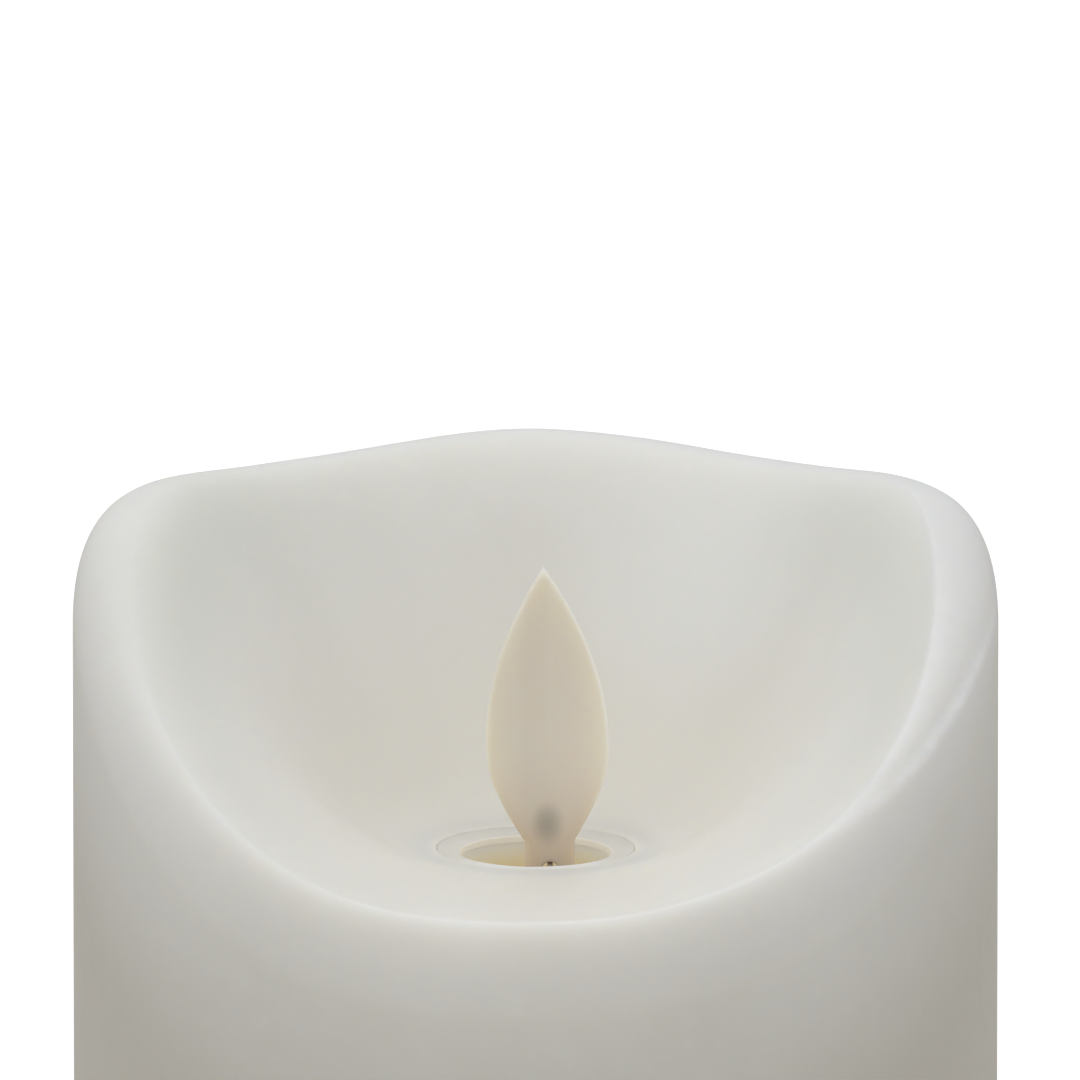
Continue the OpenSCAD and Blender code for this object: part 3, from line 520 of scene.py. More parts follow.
def collar_finish():
    """Milky plastic like the wax, smeared and flecked with wax where the two meet, with a painted
    highlight along its front and a painted glow on its inner wall.
    """
    s = Shader("collar_plastic", (0.76, 0.74, 0.68), 0.42, Subsurface_Weight=0.25,
               Subsurface_Radius=(1.0, 0.86, 0.6), Subsurface_Scale=3.0 * MM, IOR=1.48)
    smear = s.noise(260, detail=4, rough=0.6)
    flecks = s.spread(s.cells(1300), 0.0, 0.16, 1.0, 0.0)
    rare = s.spread(s.noise(240, detail=1), 0.60, 0.66)
    bits = s.maths("MULTIPLY", flecks, rare)
    tone = s.mixed(s.spread(smear, 0.35, 0.7), (0.745, 0.715, 0.645), (0.78, 0.757, 0.70))
    # Painted highlight: the front of the collar is made paler, for the bright band where light
    # catches its rim.
    front = s.spread(s.height("Y"), -8 * MM, -3 * MM, 0.9, 0.0)
    tone = s.mixed(front, tone, (0.86, 0.855, 0.84))
    s.colour(s.mixed(s.maths("MULTIPLY", bits, 0.5), tone, (0.88, 0.87, 0.84)))
    # Painted light: the inner wall glows a little, standing in for light soaking in where it lies in
    # shade.
    out = s.distance((0, 0, 0), (1, 1, 0))
    s.link(s.spread(out, COLLAR_IN_R + 0.02 * MM, COLLAR_IN_R + 0.12 * MM, 0.2, 0.0),
           s.surface.inputs["Emission Strength"])
    s.surface.inputs["Emission Color"].default_value = (0.92, 0.88, 0.78, 1)
    s.rough(s.spread(smear, 0.3, 0.75, 0.34, 0.52))
    s.relief((smear, 0.05 * MM), (bits, 0.06 * MM))
    return s.material


def module_finish():
    """Cream moulding with a painted glow, an emission standing in for daylight soaking in through
    the wax, and painted warm light, warmest low in the hole.
    """
    s = Shader("module_plastic", (0.94, 0.87, 0.69), 0.4, Subsurface_Weight=1.0,
               Subsurface_Radius=(1.0, 0.82, 0.5), Subsurface_Scale=2.5 * MM, IOR=1.48,
               Emission_Strength=0.13)
    eroded = s.noise(900, detail=5, rough=0.6)
    cloud = s.noise(60, detail=2)
    # Painted warm light low in the hole.
    deep_warm_light = s.spread(s.height(), LIP_Z - 3.2 * MM, LIP_Z - 0.9 * MM, 1.0, 0.15)
    pale = s.mixed(cloud, (0.88, 0.83, 0.72), (0.91, 0.86, 0.76))
    tone = s.mixed(deep_warm_light, pale, (0.91, 0.77, 0.52))
    s.colour(tone)
    # The moulding glows in its own colour, though nothing in it is lit.
    s.link(tone, s.surface.inputs["Emission Color"])
    s.rough(s.spread(eroded, 0.25, 0.75, 0.33, 0.5))
    s.relief((eroded, 0.012 * MM), (cloud, 0.03 * MM))
    return s.material


def metal_finish(name, colour, roughness=0.28, axis=(1, 1, 1), drawn=300):
    """Bright metal with drawing or tumbling marks and slightly uneven plating."""
    s = Shader(name, colour, roughness, Metallic=1.0)
    marks = s.noise(drawn, detail=5, rough=0.7, where=s.stretched(axis))
    cloud = s.noise(220, detail=3)
    dull = tuple(0.82 * c for c in colour)
    s.colour(s.mixed(s.spread(cloud, 0.35, 0.7), colour, dull))
    s.rough(s.spread(marks, 0.3, 0.7, roughness - 0.08, roughness + 0.14))
    s.relief((marks, 0.006 * MM))
    return s.material


def copper_finish():
    """Enamelled wire, its turns showing as fine bands: the dark bands are painted shade between the
    turns and the light ones painted sheen on them.
    """
    s = Shader("enamelled_copper", (0.62, 0.26, 0.10), 0.3, Metallic=1.0, Coat_Weight=0.6,
               Coat_Roughness=0.15)
    turns = s.waves(420, "Z")
    # Painted shade and sheen: dark and light bands for the turns.
    s.colour(s.mixed(turns, (0.40, 0.13, 0.04), (0.74, 0.33, 0.13)))
    s.relief((turns, 0.05 * MM))
    return s.material


def led_finish():
    """Clear warm resin, slightly hazy."""
    s = Shader("led_resin", (0.95, 0.86, 0.55), 0.12, Transmission_Weight=0.85, IOR=1.52)
    haze = s.noise(260, detail=3)
    s.colour(s.mixed(haze, (0.96, 0.88, 0.60), (0.90, 0.78, 0.46)))
    s.rough(s.spread(haze, 0.3, 0.7, 0.06, 0.2))
    s.relief((s.noise(700), 0.004 * MM))
    return s.material


def board_finish():
    """Green solder mask over raised tracks."""
    s = Shader("solder_mask", (0.03, 0.19, 0.09), 0.32, Coat_Weight=0.4, Coat_Roughness=0.12)
    across = s.spread(s.waves(210, "X", 2.5), 0.78, 0.86)
    up = s.spread(s.waves(170, "Z", 3.5), 0.80, 0.88)
    tracks = s.maths("MAXIMUM", across, up)
    weave = s.noise(900, detail=2)
    mask = s.mixed(weave, (0.02, 0.15, 0.07), (0.035, 0.20, 0.10))
    s.colour(s.mixed(s.maths("MULTIPLY", tracks, 0.6), mask, (0.08, 0.34, 0.17)))
    s.relief((tracks, 0.03 * MM), (weave, 0.006 * MM))
    return s.material


def sleeve_finish(name, base, band, low, high):
    """A cell's printed sleeve: a plain colour with one band round it."""
    s = Shader(name, base, 0.24, Coat_Weight=0.5, Coat_Roughness=0.08)
    z = s.height()
    edge = 0.05 * MM
    inside = s.maths("MULTIPLY", s.spread(z, low - edge, low + edge),
                     s.spread(z, high - edge, high + edge, 1.0, 0.0))
    scuffs = s.noise(160, detail=6, rough=0.7)
    print_tone = s.mixed(inside, base, band)
    s.colour(s.mixed(s.spread(scuffs, 0.62, 0.75, 0.0, 0.35), print_tone, (0.45, 0.45, 0.44)))
    s.rough(s.spread(scuffs, 0.3, 0.75, 0.18, 0.42))
    s.relief((s.noise(90, detail=3), 0.02 * MM))
    return s.material


def rubber_finish(name, colour):
    """Soft insulation or shrink sleeve with a matt skin."""
    s = Shader(name, colour, 0.48, IOR=1.5)
    skin = s.noise(700, detail=3)
    s.colour(s.mixed(skin, tuple(0.85 * c for c in colour), tuple(min(1, 1.15 * c) for c in colour)))
    s.rough(s.spread(skin, 0.3, 0.7, 0.4, 0.58))
    s.relief((skin, 0.01 * MM))
    return s.material


FINISHES = {
    "wax": wax_finish(),
    "flame_plastic": flame_finish(),
    "collar_plastic": collar_finish(),
    "liner_plastic": moulded_finish("liner_plastic", (0.66, 0.64, 0.59), 0.5, grain=500),
    "module_plastic": module_finish(),
    "base_plastic": moulded_finish("base_plastic", (0.60, 0.58, 0.53), 0.46, grain=1100,
                                   depth=0.02),
    "bobbin_plastic": moulded_finish("bobbin_plastic", (0.72, 0.70, 0.64), 0.38, glow=0.5),
    "magnet": metal_finish("nickel_plate", (0.66, 0.65, 0.62), 0.16),
    "wire_steel": metal_finish("drawn_wire", (0.50, 0.42, 0.33), 0.5, (1, 0.05, 1), 2500),
    "screw_steel": metal_finish("zinc_plate", (0.60, 0.60, 0.62), 0.3, drawn=900),
    "spring_steel": metal_finish("nickel_sheet", (0.66, 0.65, 0.63), 0.24, (1, 0.08, 1), 1200),
    "copper_enamel": copper_finish(),
    "led_resin": led_finish(),
    "cell_sleeve": sleeve_finish("cell_sleeve", (0.10, 0.13, 0.16), (0.55, 0.56, 0.56), 0, 0),
    "board_green": board_finish(),
    "chip_black": moulded_finish("chip_epoxy", (0.025, 0.025, 0.027), 0.5, grain=2500, depth=0.01),
    "capacitor_sleeve": rubber_finish("capacitor_sleeve", (0.03, 0.05, 0.16)),
    "ferrite": moulded_finish("ferrite", (0.05, 0.05, 0.052), 0.55, grain=3000, depth=0.02),
    "connector_white": moulded_finish("connector_nylon", (0.72, 0.70, 0.62), 0.42, glow=0.4),
    "knob_black": moulded_finish("knob_plastic", (0.03, 0.03, 0.032), 0.4, grain=1600),
    "wire_red": rubber_finish("red_insulation", (0.50, 0.03, 0.02)),
    "wire_black": rubber_finish("black_insulation", (0.02, 0.02, 0.022)),
    "wire_white": rubber_finish("white_insulation", (0.68, 0.66, 0.60)),
}


def dress(obj, finish):
    obj.data.materials.clear()
    obj.data.materials.append(finish)
    return obj


# ---------- Wax ----------

ROUND = 360               # points round the pillar
BOWL_RINGS = 60
LIP_RINGS = 64
WALL_RINGS = 34
EDGE_RINGS = 4
EDGE_R = 0.3 * MM         # rounding of the cut edges
HOLE_EDGE_R = 0.06 * MM   # the same where the wax meets the collar
HOLE_LAP = 0.02 * MM      # how far the wax reaches over the collar's rim
HOLE_RAGGED = 0.30 * MM
SETTLE_REACH = 2.2 * MM   # width of the wax that has sunk level with the collar
SETTLE_Z = collar_high.z + 0.03 * MM
CREST_RAGGED = 0.22 * MM
RIDGE_SOFT = 0.28         # rounding of the lip's ridge, as a share of its width
FADE_DEPTH = 24 * MM      # how far the light in the lip carries down the wall
CRISP_AT, CRISP_REACH = math.radians(72), math.radians(26)     # sharp inner edge, on the right
CRISP_SLOPE = 1.1
CREASE_AT, CREASE_REACH = math.radians(66), math.radians(17)   # scraped line below that edge
CREASE_H = 0.2 * MM
CREASE_W = 0.5 * MM
CREASE_BELOW = (3.0 * MM, 6.6 * MM)    # depth below the ridge at its middle, and per radian
HOLLOW_AT, HOLLOW_TURN = math.radians(95), math.radians(38)    # painted shade inside the side lips, drawn as greyer wax
HOLLOW_IN, HOLLOW_REACH = 4.0 * MM, 4.0 * MM
UNDER_Z = liner_high.z + 0.05 * MM     # the wax's underside over the liner
LINER_GAP = 0.05 * MM
LINER_CHAMFER = 3 * MM
REBATE_GAP = 0.3 * MM     # round the base and under the liner
PHI = circle_points(ROUND) - math.pi   # round the pillar, 0 at the front


def wander(phi, step, seed, depth):
    """A slow unevenness round the pillar that meets itself after a full turn."""
    return np.array([depth * noise.noise((step * math.cos(a), step * math.sin(a), seed))
                     for a in phi])


def softened(q, power):
    """q to a power, with the bend at q = 0 rounded off."""
    start = RIDGE_SOFT ** power
    whole = (1 + RIDGE_SOFT ** 2) ** (power / 2)
    return ((q * q + RIDGE_SOFT ** 2) ** (power / 2) - start) / (whole - start)


def crease_share(phi):
    """How strong the scraped line is round the pillar."""
    return bump_at(phi, CREASE_AT, CREASE_REACH) ** 0.7


def crease_depth(phi):
    """How far the scraped line lies below the ridge."""
    return CREASE_BELOW[0] + CREASE_BELOW[1] * (phi - CREASE_AT)


def wax_ring(r, z):
    """A ring of points, its radius and height the same all round or given for each angle."""
    r = np.broadcast_to(r, PHI.shape)
    return np.stack([r * np.sin(PHI), -r * np.cos(PHI), np.broadcast_to(z, PHI.shape)], 1)


def bowl_height(r, ridge_r, crest):
    """The bowl's height: a tilted floor that rises to the ridge and sinks to the collar's rim."""
    bias = lip_mix(BOWL_BIAS, PHI, 2)
    crisp = CRISP_SLOPE * bump_at(PHI, CRISP_AT, CRISP_REACH)
    share = (np.maximum(r - HOLE_R, 0) / (ridge_r - HOLE_R)) ** bias
    ground = FLOOR_STEP - math.tan(FLOOR_TILT) * r * np.cos(PHI)
    rise = smooth(share) - crisp * share ** 8 * (1 - share)
    z = LIP_Z + rise * crest + (1 - rise) * ground
    settled = np.exp(-(np.maximum(r - HOLE_R, 0) / SETTLE_REACH) ** 2)
    return z + settled * (SETTLE_Z - z)


def bowl_rings(ridge_r, crest):
    """Up through the flame's hole, over its edge and out to the ridge."""
    ragged = np.abs(wander(PHI, 6.0, 1.0, HOLE_RAGGED)) * (1 - np.cos(PHI)) / 2
    hole = collar_high.x - HOLE_LAP + ragged
    edge_z = bowl_height(hole + HOLE_EDGE_R, ridge_r, crest)
    rings = [wax_ring(hole, UNDER_Z)]
    for turn in np.linspace(0, math.pi / 2, EDGE_RINGS):
        rings.append(wax_ring(hole + HOLE_EDGE_R * (1 - math.cos(turn)),
                              edge_z - HOLE_EDGE_R * (1 - math.sin(turn))))
    for k in range(1, BOWL_RINGS + 1):
        r = hole + HOLE_EDGE_R + (ridge_r - hole - HOLE_EDGE_R) * (k / BOWL_RINGS)
        rings.append(wax_ring(r, bowl_height(r, ridge_r, crest)))
    return rings


def lip_rings(ridge_r, crest):
    """From the ridge round the lip to the wall, with the scraped line as a bead on it."""
    width, drop, power = (lip_mix(pair, PHI) for pair in (LIP_W, LIP_DROP, LIP_POWER))
    rings = []
    for k in range(1, LIP_RINGS + 1):
        q = math.sin((math.pi / 2) * k / LIP_RINGS)
        fall = 1 - np.maximum(1 - softened(q, power), 0) ** (1 / power)
        below = drop * fall - crease_depth(PHI)
        bead = bump_at(below, 0, CREASE_W) - 0.6 * bump_at(below, -1.1 * MM, 0.6 * MM)
        bead *= CREASE_H * crease_share(PHI) * (1 - q ** 6)
        rings.append(wax_ring(ridge_r + width * q + 0.6 * bead,
                              LIP_Z + crest - drop * fall + 0.8 * bead))
    return rings


def wall_rings(crest):
    """Down the outer wall and round its foot."""
    start_z = LIP_Z + crest - lip_mix(LIP_DROP, PHI)
    rings = []
    for k in range(1, WALL_RINGS + 1):
        share = (k / WALL_RINGS) ** 1.3
        rings.append(wax_ring(PILLAR_R, start_z + (wax_low.z + EDGE_R - start_z) * share))
    for turn in np.linspace(0, math.pi / 2, EDGE_RINGS)[1:]:
        rings.append(wax_ring(PILLAR_R - EDGE_R * (1 - math.cos(turn)),
                              wax_low.z + EDGE_R * (1 - math.sin(turn))))
    return rings


def inner_rings():
    """Across the foot, up inside along the liner and in under the bowl."""
    rebate_r = base_high.x + REBATE_GAP
    rebate_z = liner_low.z + REBATE_GAP
    inner_r = liner_high.x + LINER_GAP
    profile = [(rebate_r + EDGE_R, wax_low.z), (rebate_r, wax_low.z + EDGE_R),
               (rebate_r, rebate_z), (inner_r, rebate_z), (inner_r, liner_high.z - LINER_CHAMFER),
               (liner_high.x - LINER_CHAMFER, UNDER_Z), (0.5 * (inner_r + HOLE_R), UNDER_Z)]
    return [wax_ring(r, z) for r, z in profile]


def paint_wax(obj):
    """Stores how far down the wall each point is for the painted shade there, where the scrape runs
    and is painted paler as a highlight, and where the side lips and the lip get painted shade.
    """
    x, y, z = np.array([vertex.co for vertex in obj.data.vertices]).T
    r, turn = np.hypot(x, y), np.arctan2(x, -y)
    ridge_z = LIP_Z + lip_height(turn)
    wall_z = ridge_z - lip_mix(LIP_DROP, turn)
    ridge_r = PILLAR_R - lip_mix(LIP_W, turn)
    outside = (r > PILLAR_R - EDGE_R) | (z < wax_low.z + EDGE_R / 2)
    # Depth below the lip for the painted shade down the outer wall.
    paint(obj, "wall_shade_depth", smooth(np.clip((wall_z - z) / FADE_DEPTH, 0, 1)) * outside)
    # The band along the crease: partly a scrape, partly a painted highlight.
    line = ridge_z - crease_depth(turn)
    lip = (r > ridge_r - 0.05 * MM) * (z > wall_z - 1 * MM)
    band = lip * (z > line) * 0.3 + lip * bump_at(z, line, CREASE_W)
    paint(obj, "scraped_and_sheen", np.clip(band, 0, 1) * crease_share(turn))
    # Where the painted shade inside the side lips lies.
    beside = bump_at(np.abs(turn), HOLLOW_AT, HOLLOW_TURN) * (r < ridge_r)
    paint(obj, "hollow_shade", 0.6 * beside * bump_at(r, ridge_r - HOLLOW_IN, HOLLOW_REACH))
    # Where the painted shade on the lip faces lies, strongest on the sides and the right.
    face = smooth(np.clip((r - ridge_r + 2 * MM) / (2.5 * MM), 0, 1))
    side = lip_mix((0.35, 1.0), turn, 2) * (0.7 + 0.3 * np.sin(turn))
    paint(obj, "lip_shade", face * side * smooth(np.clip((z - wall_z) / (3 * MM), 0, 1)))


def wax_piece():
    crest = lip_height(PHI) + wander(PHI, 3.0, 7.0, CREST_RAGGED)
    ridge_r = PILLAR_R - lip_mix(LIP_W, PHI)
    rings = np.array(bowl_rings(ridge_r, crest) + lip_rings(ridge_r, crest) + wall_rings(crest)
                     + inner_rings())
    obj = rings_object("wax_pillar", rings, closed=True, sharp=math.radians(50))
    paint_wax(obj)
    place(dress(obj, FINISHES["wax"]), "wax_shell")


# ---------- Flame ----------

def flame_half(z):
    """Half the flame's width at a height above the pivot."""
    if z < -TAIL_TURN:
        return NECK_W / 2 * (1 - 0.3 * smooth(min((-TAIL_TURN - z) / (2.5 * MM), 1)))
    if z < FLAME_ROOT:
        return NECK_W / 2
    if z < BELLY_H:
        share = (z - FLAME_ROOT) / (BELLY_H - FLAME_ROOT)
        return NECK_W / 2 + (FLAME_W - NECK_W) / 2 * math.sin(share * math.pi / 2)
    return FLAME_W / 2 * (1 - ((z - BELLY_H) / (FLAME_TOP - BELLY_H)) ** 2)


def flame_ring(z, half, count=64):
    """The flame's outline at one height, thinner at its rim and towards the tip."""
    angle = circle_points(count)
    x = half * np.cos(angle)
    lens = 1 - np.abs(x / (FLAME_W / 2)) ** 3.2
    rise = max((z - BELLY_H) / (FLAME_TOP - BELLY_H), 0)
    middle = (FLAME_T - FLAME_EDGE_T) * (1 - 0.7 * rise ** 2)
    rim = FLAME_EDGE_T * (1 - 0.35 * rise)
    edge = np.abs(np.sin(angle)) ** 0.45
    y = np.sign(np.sin(angle)) * 0.5 * edge * (rim + middle * lens)
    return np.stack([x, y, np.full(count, z)], 1)


def flame_body():
    """The petal, its neck and its tail, as one plate that is thickest in the middle."""
    low = MAGNET_T + 0.5 * MM - TAIL_LEN
    levels = np.concatenate([np.linspace(low, FLAME_ROOT, 40),
                             np.linspace(FLAME_ROOT, BELLY_H, 40)[1:],
                             BELLY_H + (FLAME_TOP - BELLY_H)
                             * (1 - (1 - np.linspace(0, 1, 70)[1:]) ** 1.5)])
    rings = np.array([flame_ring(z, max(flame_half(z), TIP_R)) for z in levels])
    return rings_object("flame_moulding", rings, sharp=math.radians(55))


def magnet_cup():
    """The round end of the tail that holds the magnet."""
    r = MAGNET_R + CUP_WALL
    soft = 0.25 * MM
    low = -TAIL_LEN
    top = MAGNET_T + 1 * MM - TAIL_LEN
    profile = [(AXIS_R, low), (r - soft, low), (r, low + soft), (r, top - soft), (r - soft, top),
               (AXIS_R, top)]
    return revolved("cup", profile, count=64, closed=False)


def magnet_pocket():
    r = MAGNET_R + MAGNET_GAP
    profile = [(r, -TAIL_LEN - 1 * MM), (r, -TAIL_LEN + MAGNET_T + MAGNET_GAP)]
    return revolved("pocket", profile, count=64, closed=False)


def pivot_bore():
    """The wire's hole, from front to back, wider at both ends."""
    flare = PIVOT_HOLE_R + 0.16 * MM
    straight, reach = 0.3 * MM, 1.73 * MM
    profile = [(flare, -reach), (PIVOT_HOLE_R, -straight), (PIVOT_HOLE_R, straight), (flare, reach)]
    bore = revolved("bore", profile, count=48, closed=False)
    for vertex in bore.data.vertices:
        x, y, z = vertex.co
        vertex.co = (x, z, -y + WIRE_GAP - PIVOT_HOLE_R)
    return bore


def thin_edge_and_highlight(x, z):
    """How pale the moulding's thin edge is, partly its thinner plastic and partly a painted
    highlight: the right rim and the tip most, the neck not at all.
    """
    side = abs(x) / max(flame_half(z), 0.3 * MM)
    rim = smooth(clamped((side - RIM_FROM) / (1 - RIM_FROM)))
    # Painted highlight: the right rim is made far paler than the left.
    strength = 0.8 if x > 0 else 0.1
    tip = clamped((z - FLAME_TOP + TIP_H) / TIP_H)
    return clamped((z - FLAME_ROOT) / BELLY_H) * max(strength * rim, tip)


def flame_piece():
    obj = flame_body()
    cut(obj, [magnet_cup()], "UNION")
    cut(obj, [magnet_pocket(), pivot_bore()])
    upright = np.array([v.co for v in obj.data.vertices])
    paint(obj, "thin_edge_and_highlight", [thin_edge_and_highlight(x, z) for x, _, z in upright])
    turn = np.array([[math.cos(FLAME_LEAN), 0, -math.sin(FLAME_LEAN)], [0, 1, 0],
                     [math.sin(FLAME_LEAN), 0, math.cos(FLAME_LEAN)]])
    placed = upright @ turn.T + np.array(PIVOT)
    obj.data.vertices.foreach_set("co", placed.ravel())
    obj.data.update()
    shade(obj.data, math.radians(40))
    place(dress(obj, FINISHES["flame_plastic"]), "flame_petal")


# ---------- Collar ----------

def collar_profile():
    """A rounded inner edge, a dished face, the rim and the skirt below it."""
    inner, outer = COLLAR_IN_R, COLLAR_OUT_R
    low, top, rim_z = collar_low.z, LIP_Z, collar_high.z
    skirt_in, skirt_out = inner + 1.05 * MM, outer - 0.15 * MM
    step = 0.05 * MM
    under = top - 0.7 * MM
    ledge = top - 1 * MM
    profile = [(inner, under)]
    profile += [(inner + COLLAR_SOFT - COLLAR_SOFT * math.cos(t),
                 top - COLLAR_SOFT + COLLAR_SOFT * math.sin(t))
                for t in np.linspace(0.05, math.pi / 2, 8)]
    profile += [(inner + k * (outer - inner), top + 0.3 * MM * k * k) for k in (0.2, 0.35, 0.5, 0.7)]
    profile += [(outer - step, rim_z), (outer, rim_z - step), (outer, ledge), (skirt_out, ledge),
                (skirt_out, low), (skirt_in, low), (skirt_in, under)]
    return profile


def collar_piece():
    """The ring round the flame's hole, with a bead along the front of its inner edge."""
    obj = revolved("collar_ring", collar_profile(), count=160, sharp=math.radians(50))
    for vertex in obj.data.vertices:
        x, y, z = vertex.co
        if z > LIP_Z - COLLAR_SOFT:
            bead = COLLAR_BEAD_H * bump_at(math.hypot(x, y), COLLAR_IN_R + 0.55 * MM, 0.4 * MM)
            front = smooth(clamped(-y / COLLAR_IN_R))
            uneven = 0.04 * MM * noise.noise((x * 300, y * 300, 2.0))
            vertex.co.z += bead * front + uneven
    place(dress(obj, FINISHES["collar_plastic"]), "flame_collar")


# ---------- Cells, springs and trim ----------

NUB_R, NUB_H = 3.75 * MM, 1.5 * MM
NUB_SOFT = 0.4 * MM
CRIMP_R = 0.7 * MM           # rounding of the can's ends
GROOVE = (2.2 * MM, 2.5 * MM, 2.8 * MM)   # from a can's end to the sleeve: start, middle, end
GROOVE_DEPTH = 0.12 * MM
BAND_FROM, BAND_TO = 4 * MM, 8 * MM       # the printed band, from the sleeve's nub end


def rounded_top(r, z, soft, count):
    """A quarter round at the outer top corner of a turned profile."""
    return [(r - soft + soft * math.cos(t), z - soft + soft * math.sin(t))
            for t in np.linspace(0, math.pi / 2, count)]


def cell_profile(r, length):
    """A rolled crimp at both ends, a sunk flat end below and a rounded nub above."""
    shoulder = length - NUB_H
    start, middle, end = GROOVE
    profile = [(AXIS_R, 0.25 * MM), (r - 2.2 * MM, 0.25 * MM), (r - 1.7 * MM, 0.02 * MM)]
    profile += [(r - CRIMP_R + CRIMP_R * math.sin(t), CRIMP_R - CRIMP_R * math.cos(t))
                for t in np.linspace(0, math.pi / 2, 6)]
    profile += [(r, start), (r - GROOVE_DEPTH, middle), (r, end), (r, shoulder - end),
                (r - GROOVE_DEPTH, shoulder - middle), (r, shoulder - start)]
    profile += rounded_top(r, shoulder, CRIMP_R, 6)
    profile += [(r - 1.8 * MM, shoulder - 0.05 * MM), (r - 2.4 * MM, shoulder - 0.5 * MM),
                (NUB_R + 0.8 * MM, shoulder - 0.5 * MM), (NUB_R, shoulder - 0.1 * MM)]
    profile += rounded_top(NUB_R, length, NUB_SOFT, 4)
    profile.append((AXIS_R, length))
    return profile


def cell_piece(node, up):
    """A cell in its sleeve, nub up or nub down, with bare metal at the ends."""
    low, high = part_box(node)
    centre = (low + high) / 2
    r, length = (high.x - low.x) / 2, high.z - low.z
    profile = cell_profile(r, length)
    if not up:
        profile = [(pr, length - pz) for pr, pz in profile]
    obj = revolved(node + "_can", profile, (centre.x, centre.y, low.z), closed=False)
    start = low.z + (GROOVE[2] if up else NUB_H + GROOVE[2])
    top = start + length - NUB_H - 2 * GROOVE[2]
    band = (top - BAND_TO, top - BAND_FROM) if up else (start + BAND_FROM, start + BAND_TO)
    dress(obj, sleeve_finish(node + "_sleeve", (0.07, 0.12, 0.15), (0.62, 0.62, 0.60), *band))
    obj.data.materials.append(FINISHES["spring_steel"])
    for polygon in obj.data.polygons:
        z = polygon.center.z
        off = Vector((polygon.center.x - centre.x, polygon.center.y)).length
        if z < start - 0.1 * MM or z > top + 0.1 * MM or off < r - 1.2 * MM:
            polygon.material_index = 1
    place(obj, node)


def spring_piece(node, cell, up):
    """A conical spring of round wire on a cell's axis, its wide end on the contact plate."""
    low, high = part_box(node)
    cell_low, cell_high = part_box(cell)
    centre_x = (cell_low.x + cell_high.x) / 2
    wire, turns, steps = 0.3 * MM, 4, 36
    wide, narrow = 4.5 * MM, 3.0 * MM
    t = np.linspace(0, 1, turns * steps + 1)
    r = wide + (narrow - wide) * t
    lift = wire + t * (high.z - low.z - 2 * wire)
    z = low.z + lift if up else high.z - lift
    angle = 2 * math.pi * turns * t
    path = np.stack([centre_x + r * np.cos(angle), r * np.sin(angle), z], 1)
    obj = tube(node + "_coil", path, wire, 12)
    place(dress(obj, FINISHES["spring_steel"]), node)


def bar(name, centre, size, soft):
    """A block with rounded edges."""
    bm = bmesh.new()
    bmesh.ops.create_cube(bm, size=1)
    bmesh.ops.scale(bm, vec=size, verts=bm.verts)
    bmesh.ops.bevel(bm, geom=bm.edges[:] + bm.verts[:], offset=soft, segments=3, affect="EDGES",
                    profile=0.5)
    bmesh.ops.translate(bm, vec=centre, verts=bm.verts)
    mesh = bpy.data.meshes.new(name)
    bm.to_mesh(mesh)
    bm.free()
    shade(mesh)
    return new_object(name, mesh)


def joined(name, parts):
    bm = bmesh.new()
    for part in parts:
        bm.from_mesh(part.data)
        bpy.data.objects.remove(part)
    mesh = bpy.data.meshes.new(name)
    bm.to_mesh(mesh)
    bm.free()
    shade(mesh)
    return new_object(name, mesh)


def door_ribs():
    """Five ribs for the thumb at the door's free end."""
    low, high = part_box("battery_door")
    size = (0.8 * MM, 11 * MM, 0.9 * MM)
    ribs = [bar("rib", (high.x - 4.0 * MM - k * 1.6 * MM, 0, low.z + 0.1 * MM), size, 0.25 * MM)
            for k in range(5)]
    trim(dress(joined("door_grip_ribs", ribs), FINISHES["base_plastic"]), "battery_door")


def knob_ribs():
    """Four ribs across the knob's end."""
    low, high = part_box("switch_knob")
    centre = (low + high) / 2
    size = (0.4 * MM, 2.6 * MM, 0.4 * MM)
    ribs = [bar("rib", (centre.x + (k - 1.5) * 0.95 * MM, centre.y, low.z), size, 0.12 * MM)
            for k in range(4)]
    trim(dress(joined("knob_ribs", ribs), FINISHES["knob_black"]), "switch_knob")


def coil_piece():
    """The winding, with its outer layer of turns standing out as ridges."""
    low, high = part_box("coil_winding")
    turns = 20
    half = 0.5 * (high.z - low.z) / turns
    profile = [(WINDING_IN_R, low.z), (WINDING_IN_R, high.z)]
    for k in range(turns):
        middle = high.z - (2 * k + 1) * half
        profile += [(high.x - half + half * math.sin(t), middle + half * math.cos(t))
                    for t in np.linspace(0.35, math.pi - 0.35, 5)]
    obj = revolved("coil_turns", profile, sharp=math.radians(70))
    place(dress(obj, FINISHES["copper_enamel"]), "coil_winding")


# ---------- The rest of the CAD nodes ----------

EDGES_MM = {                 # rounding of each node's edges, in millimetres
    "housing_front": 0.2, "housing_back": 0.2, "coil_bobbin": 0.15,
    "led_holder": 0.12, "base_housing": 0.25, "battery_door": 0.25, "inner_liner": 0.3,
    "flame_magnet": 0.2, "base_screws": 0.12, "housing_screws": 0.1, "mechanism_screws": 0.1,
    "bridge_plate": 0.08, "positive_contact": 0.08, "negative_contact": 0.08,
    "main_board": 0.08, "filter_capacitor": 0.35, "boost_inductor": 0.15, "slide_switch": 0.15,
    "switch_knob": 0.25, "board_connectors": 0.1,
}


def finish_nodes():
    """Rounds the edges of the plainer nodes and gives every CAD node its slot's material."""
    for node, width in EDGES_MM.items():
        dress(refined(node, width * MM), FINISHES[SLOT_OF[node]])
    for node, obj in NODES.items():
        dress(obj, FINISHES[SLOT_OF[node]])
        shade(obj.data)


# ---------- Studio ----------

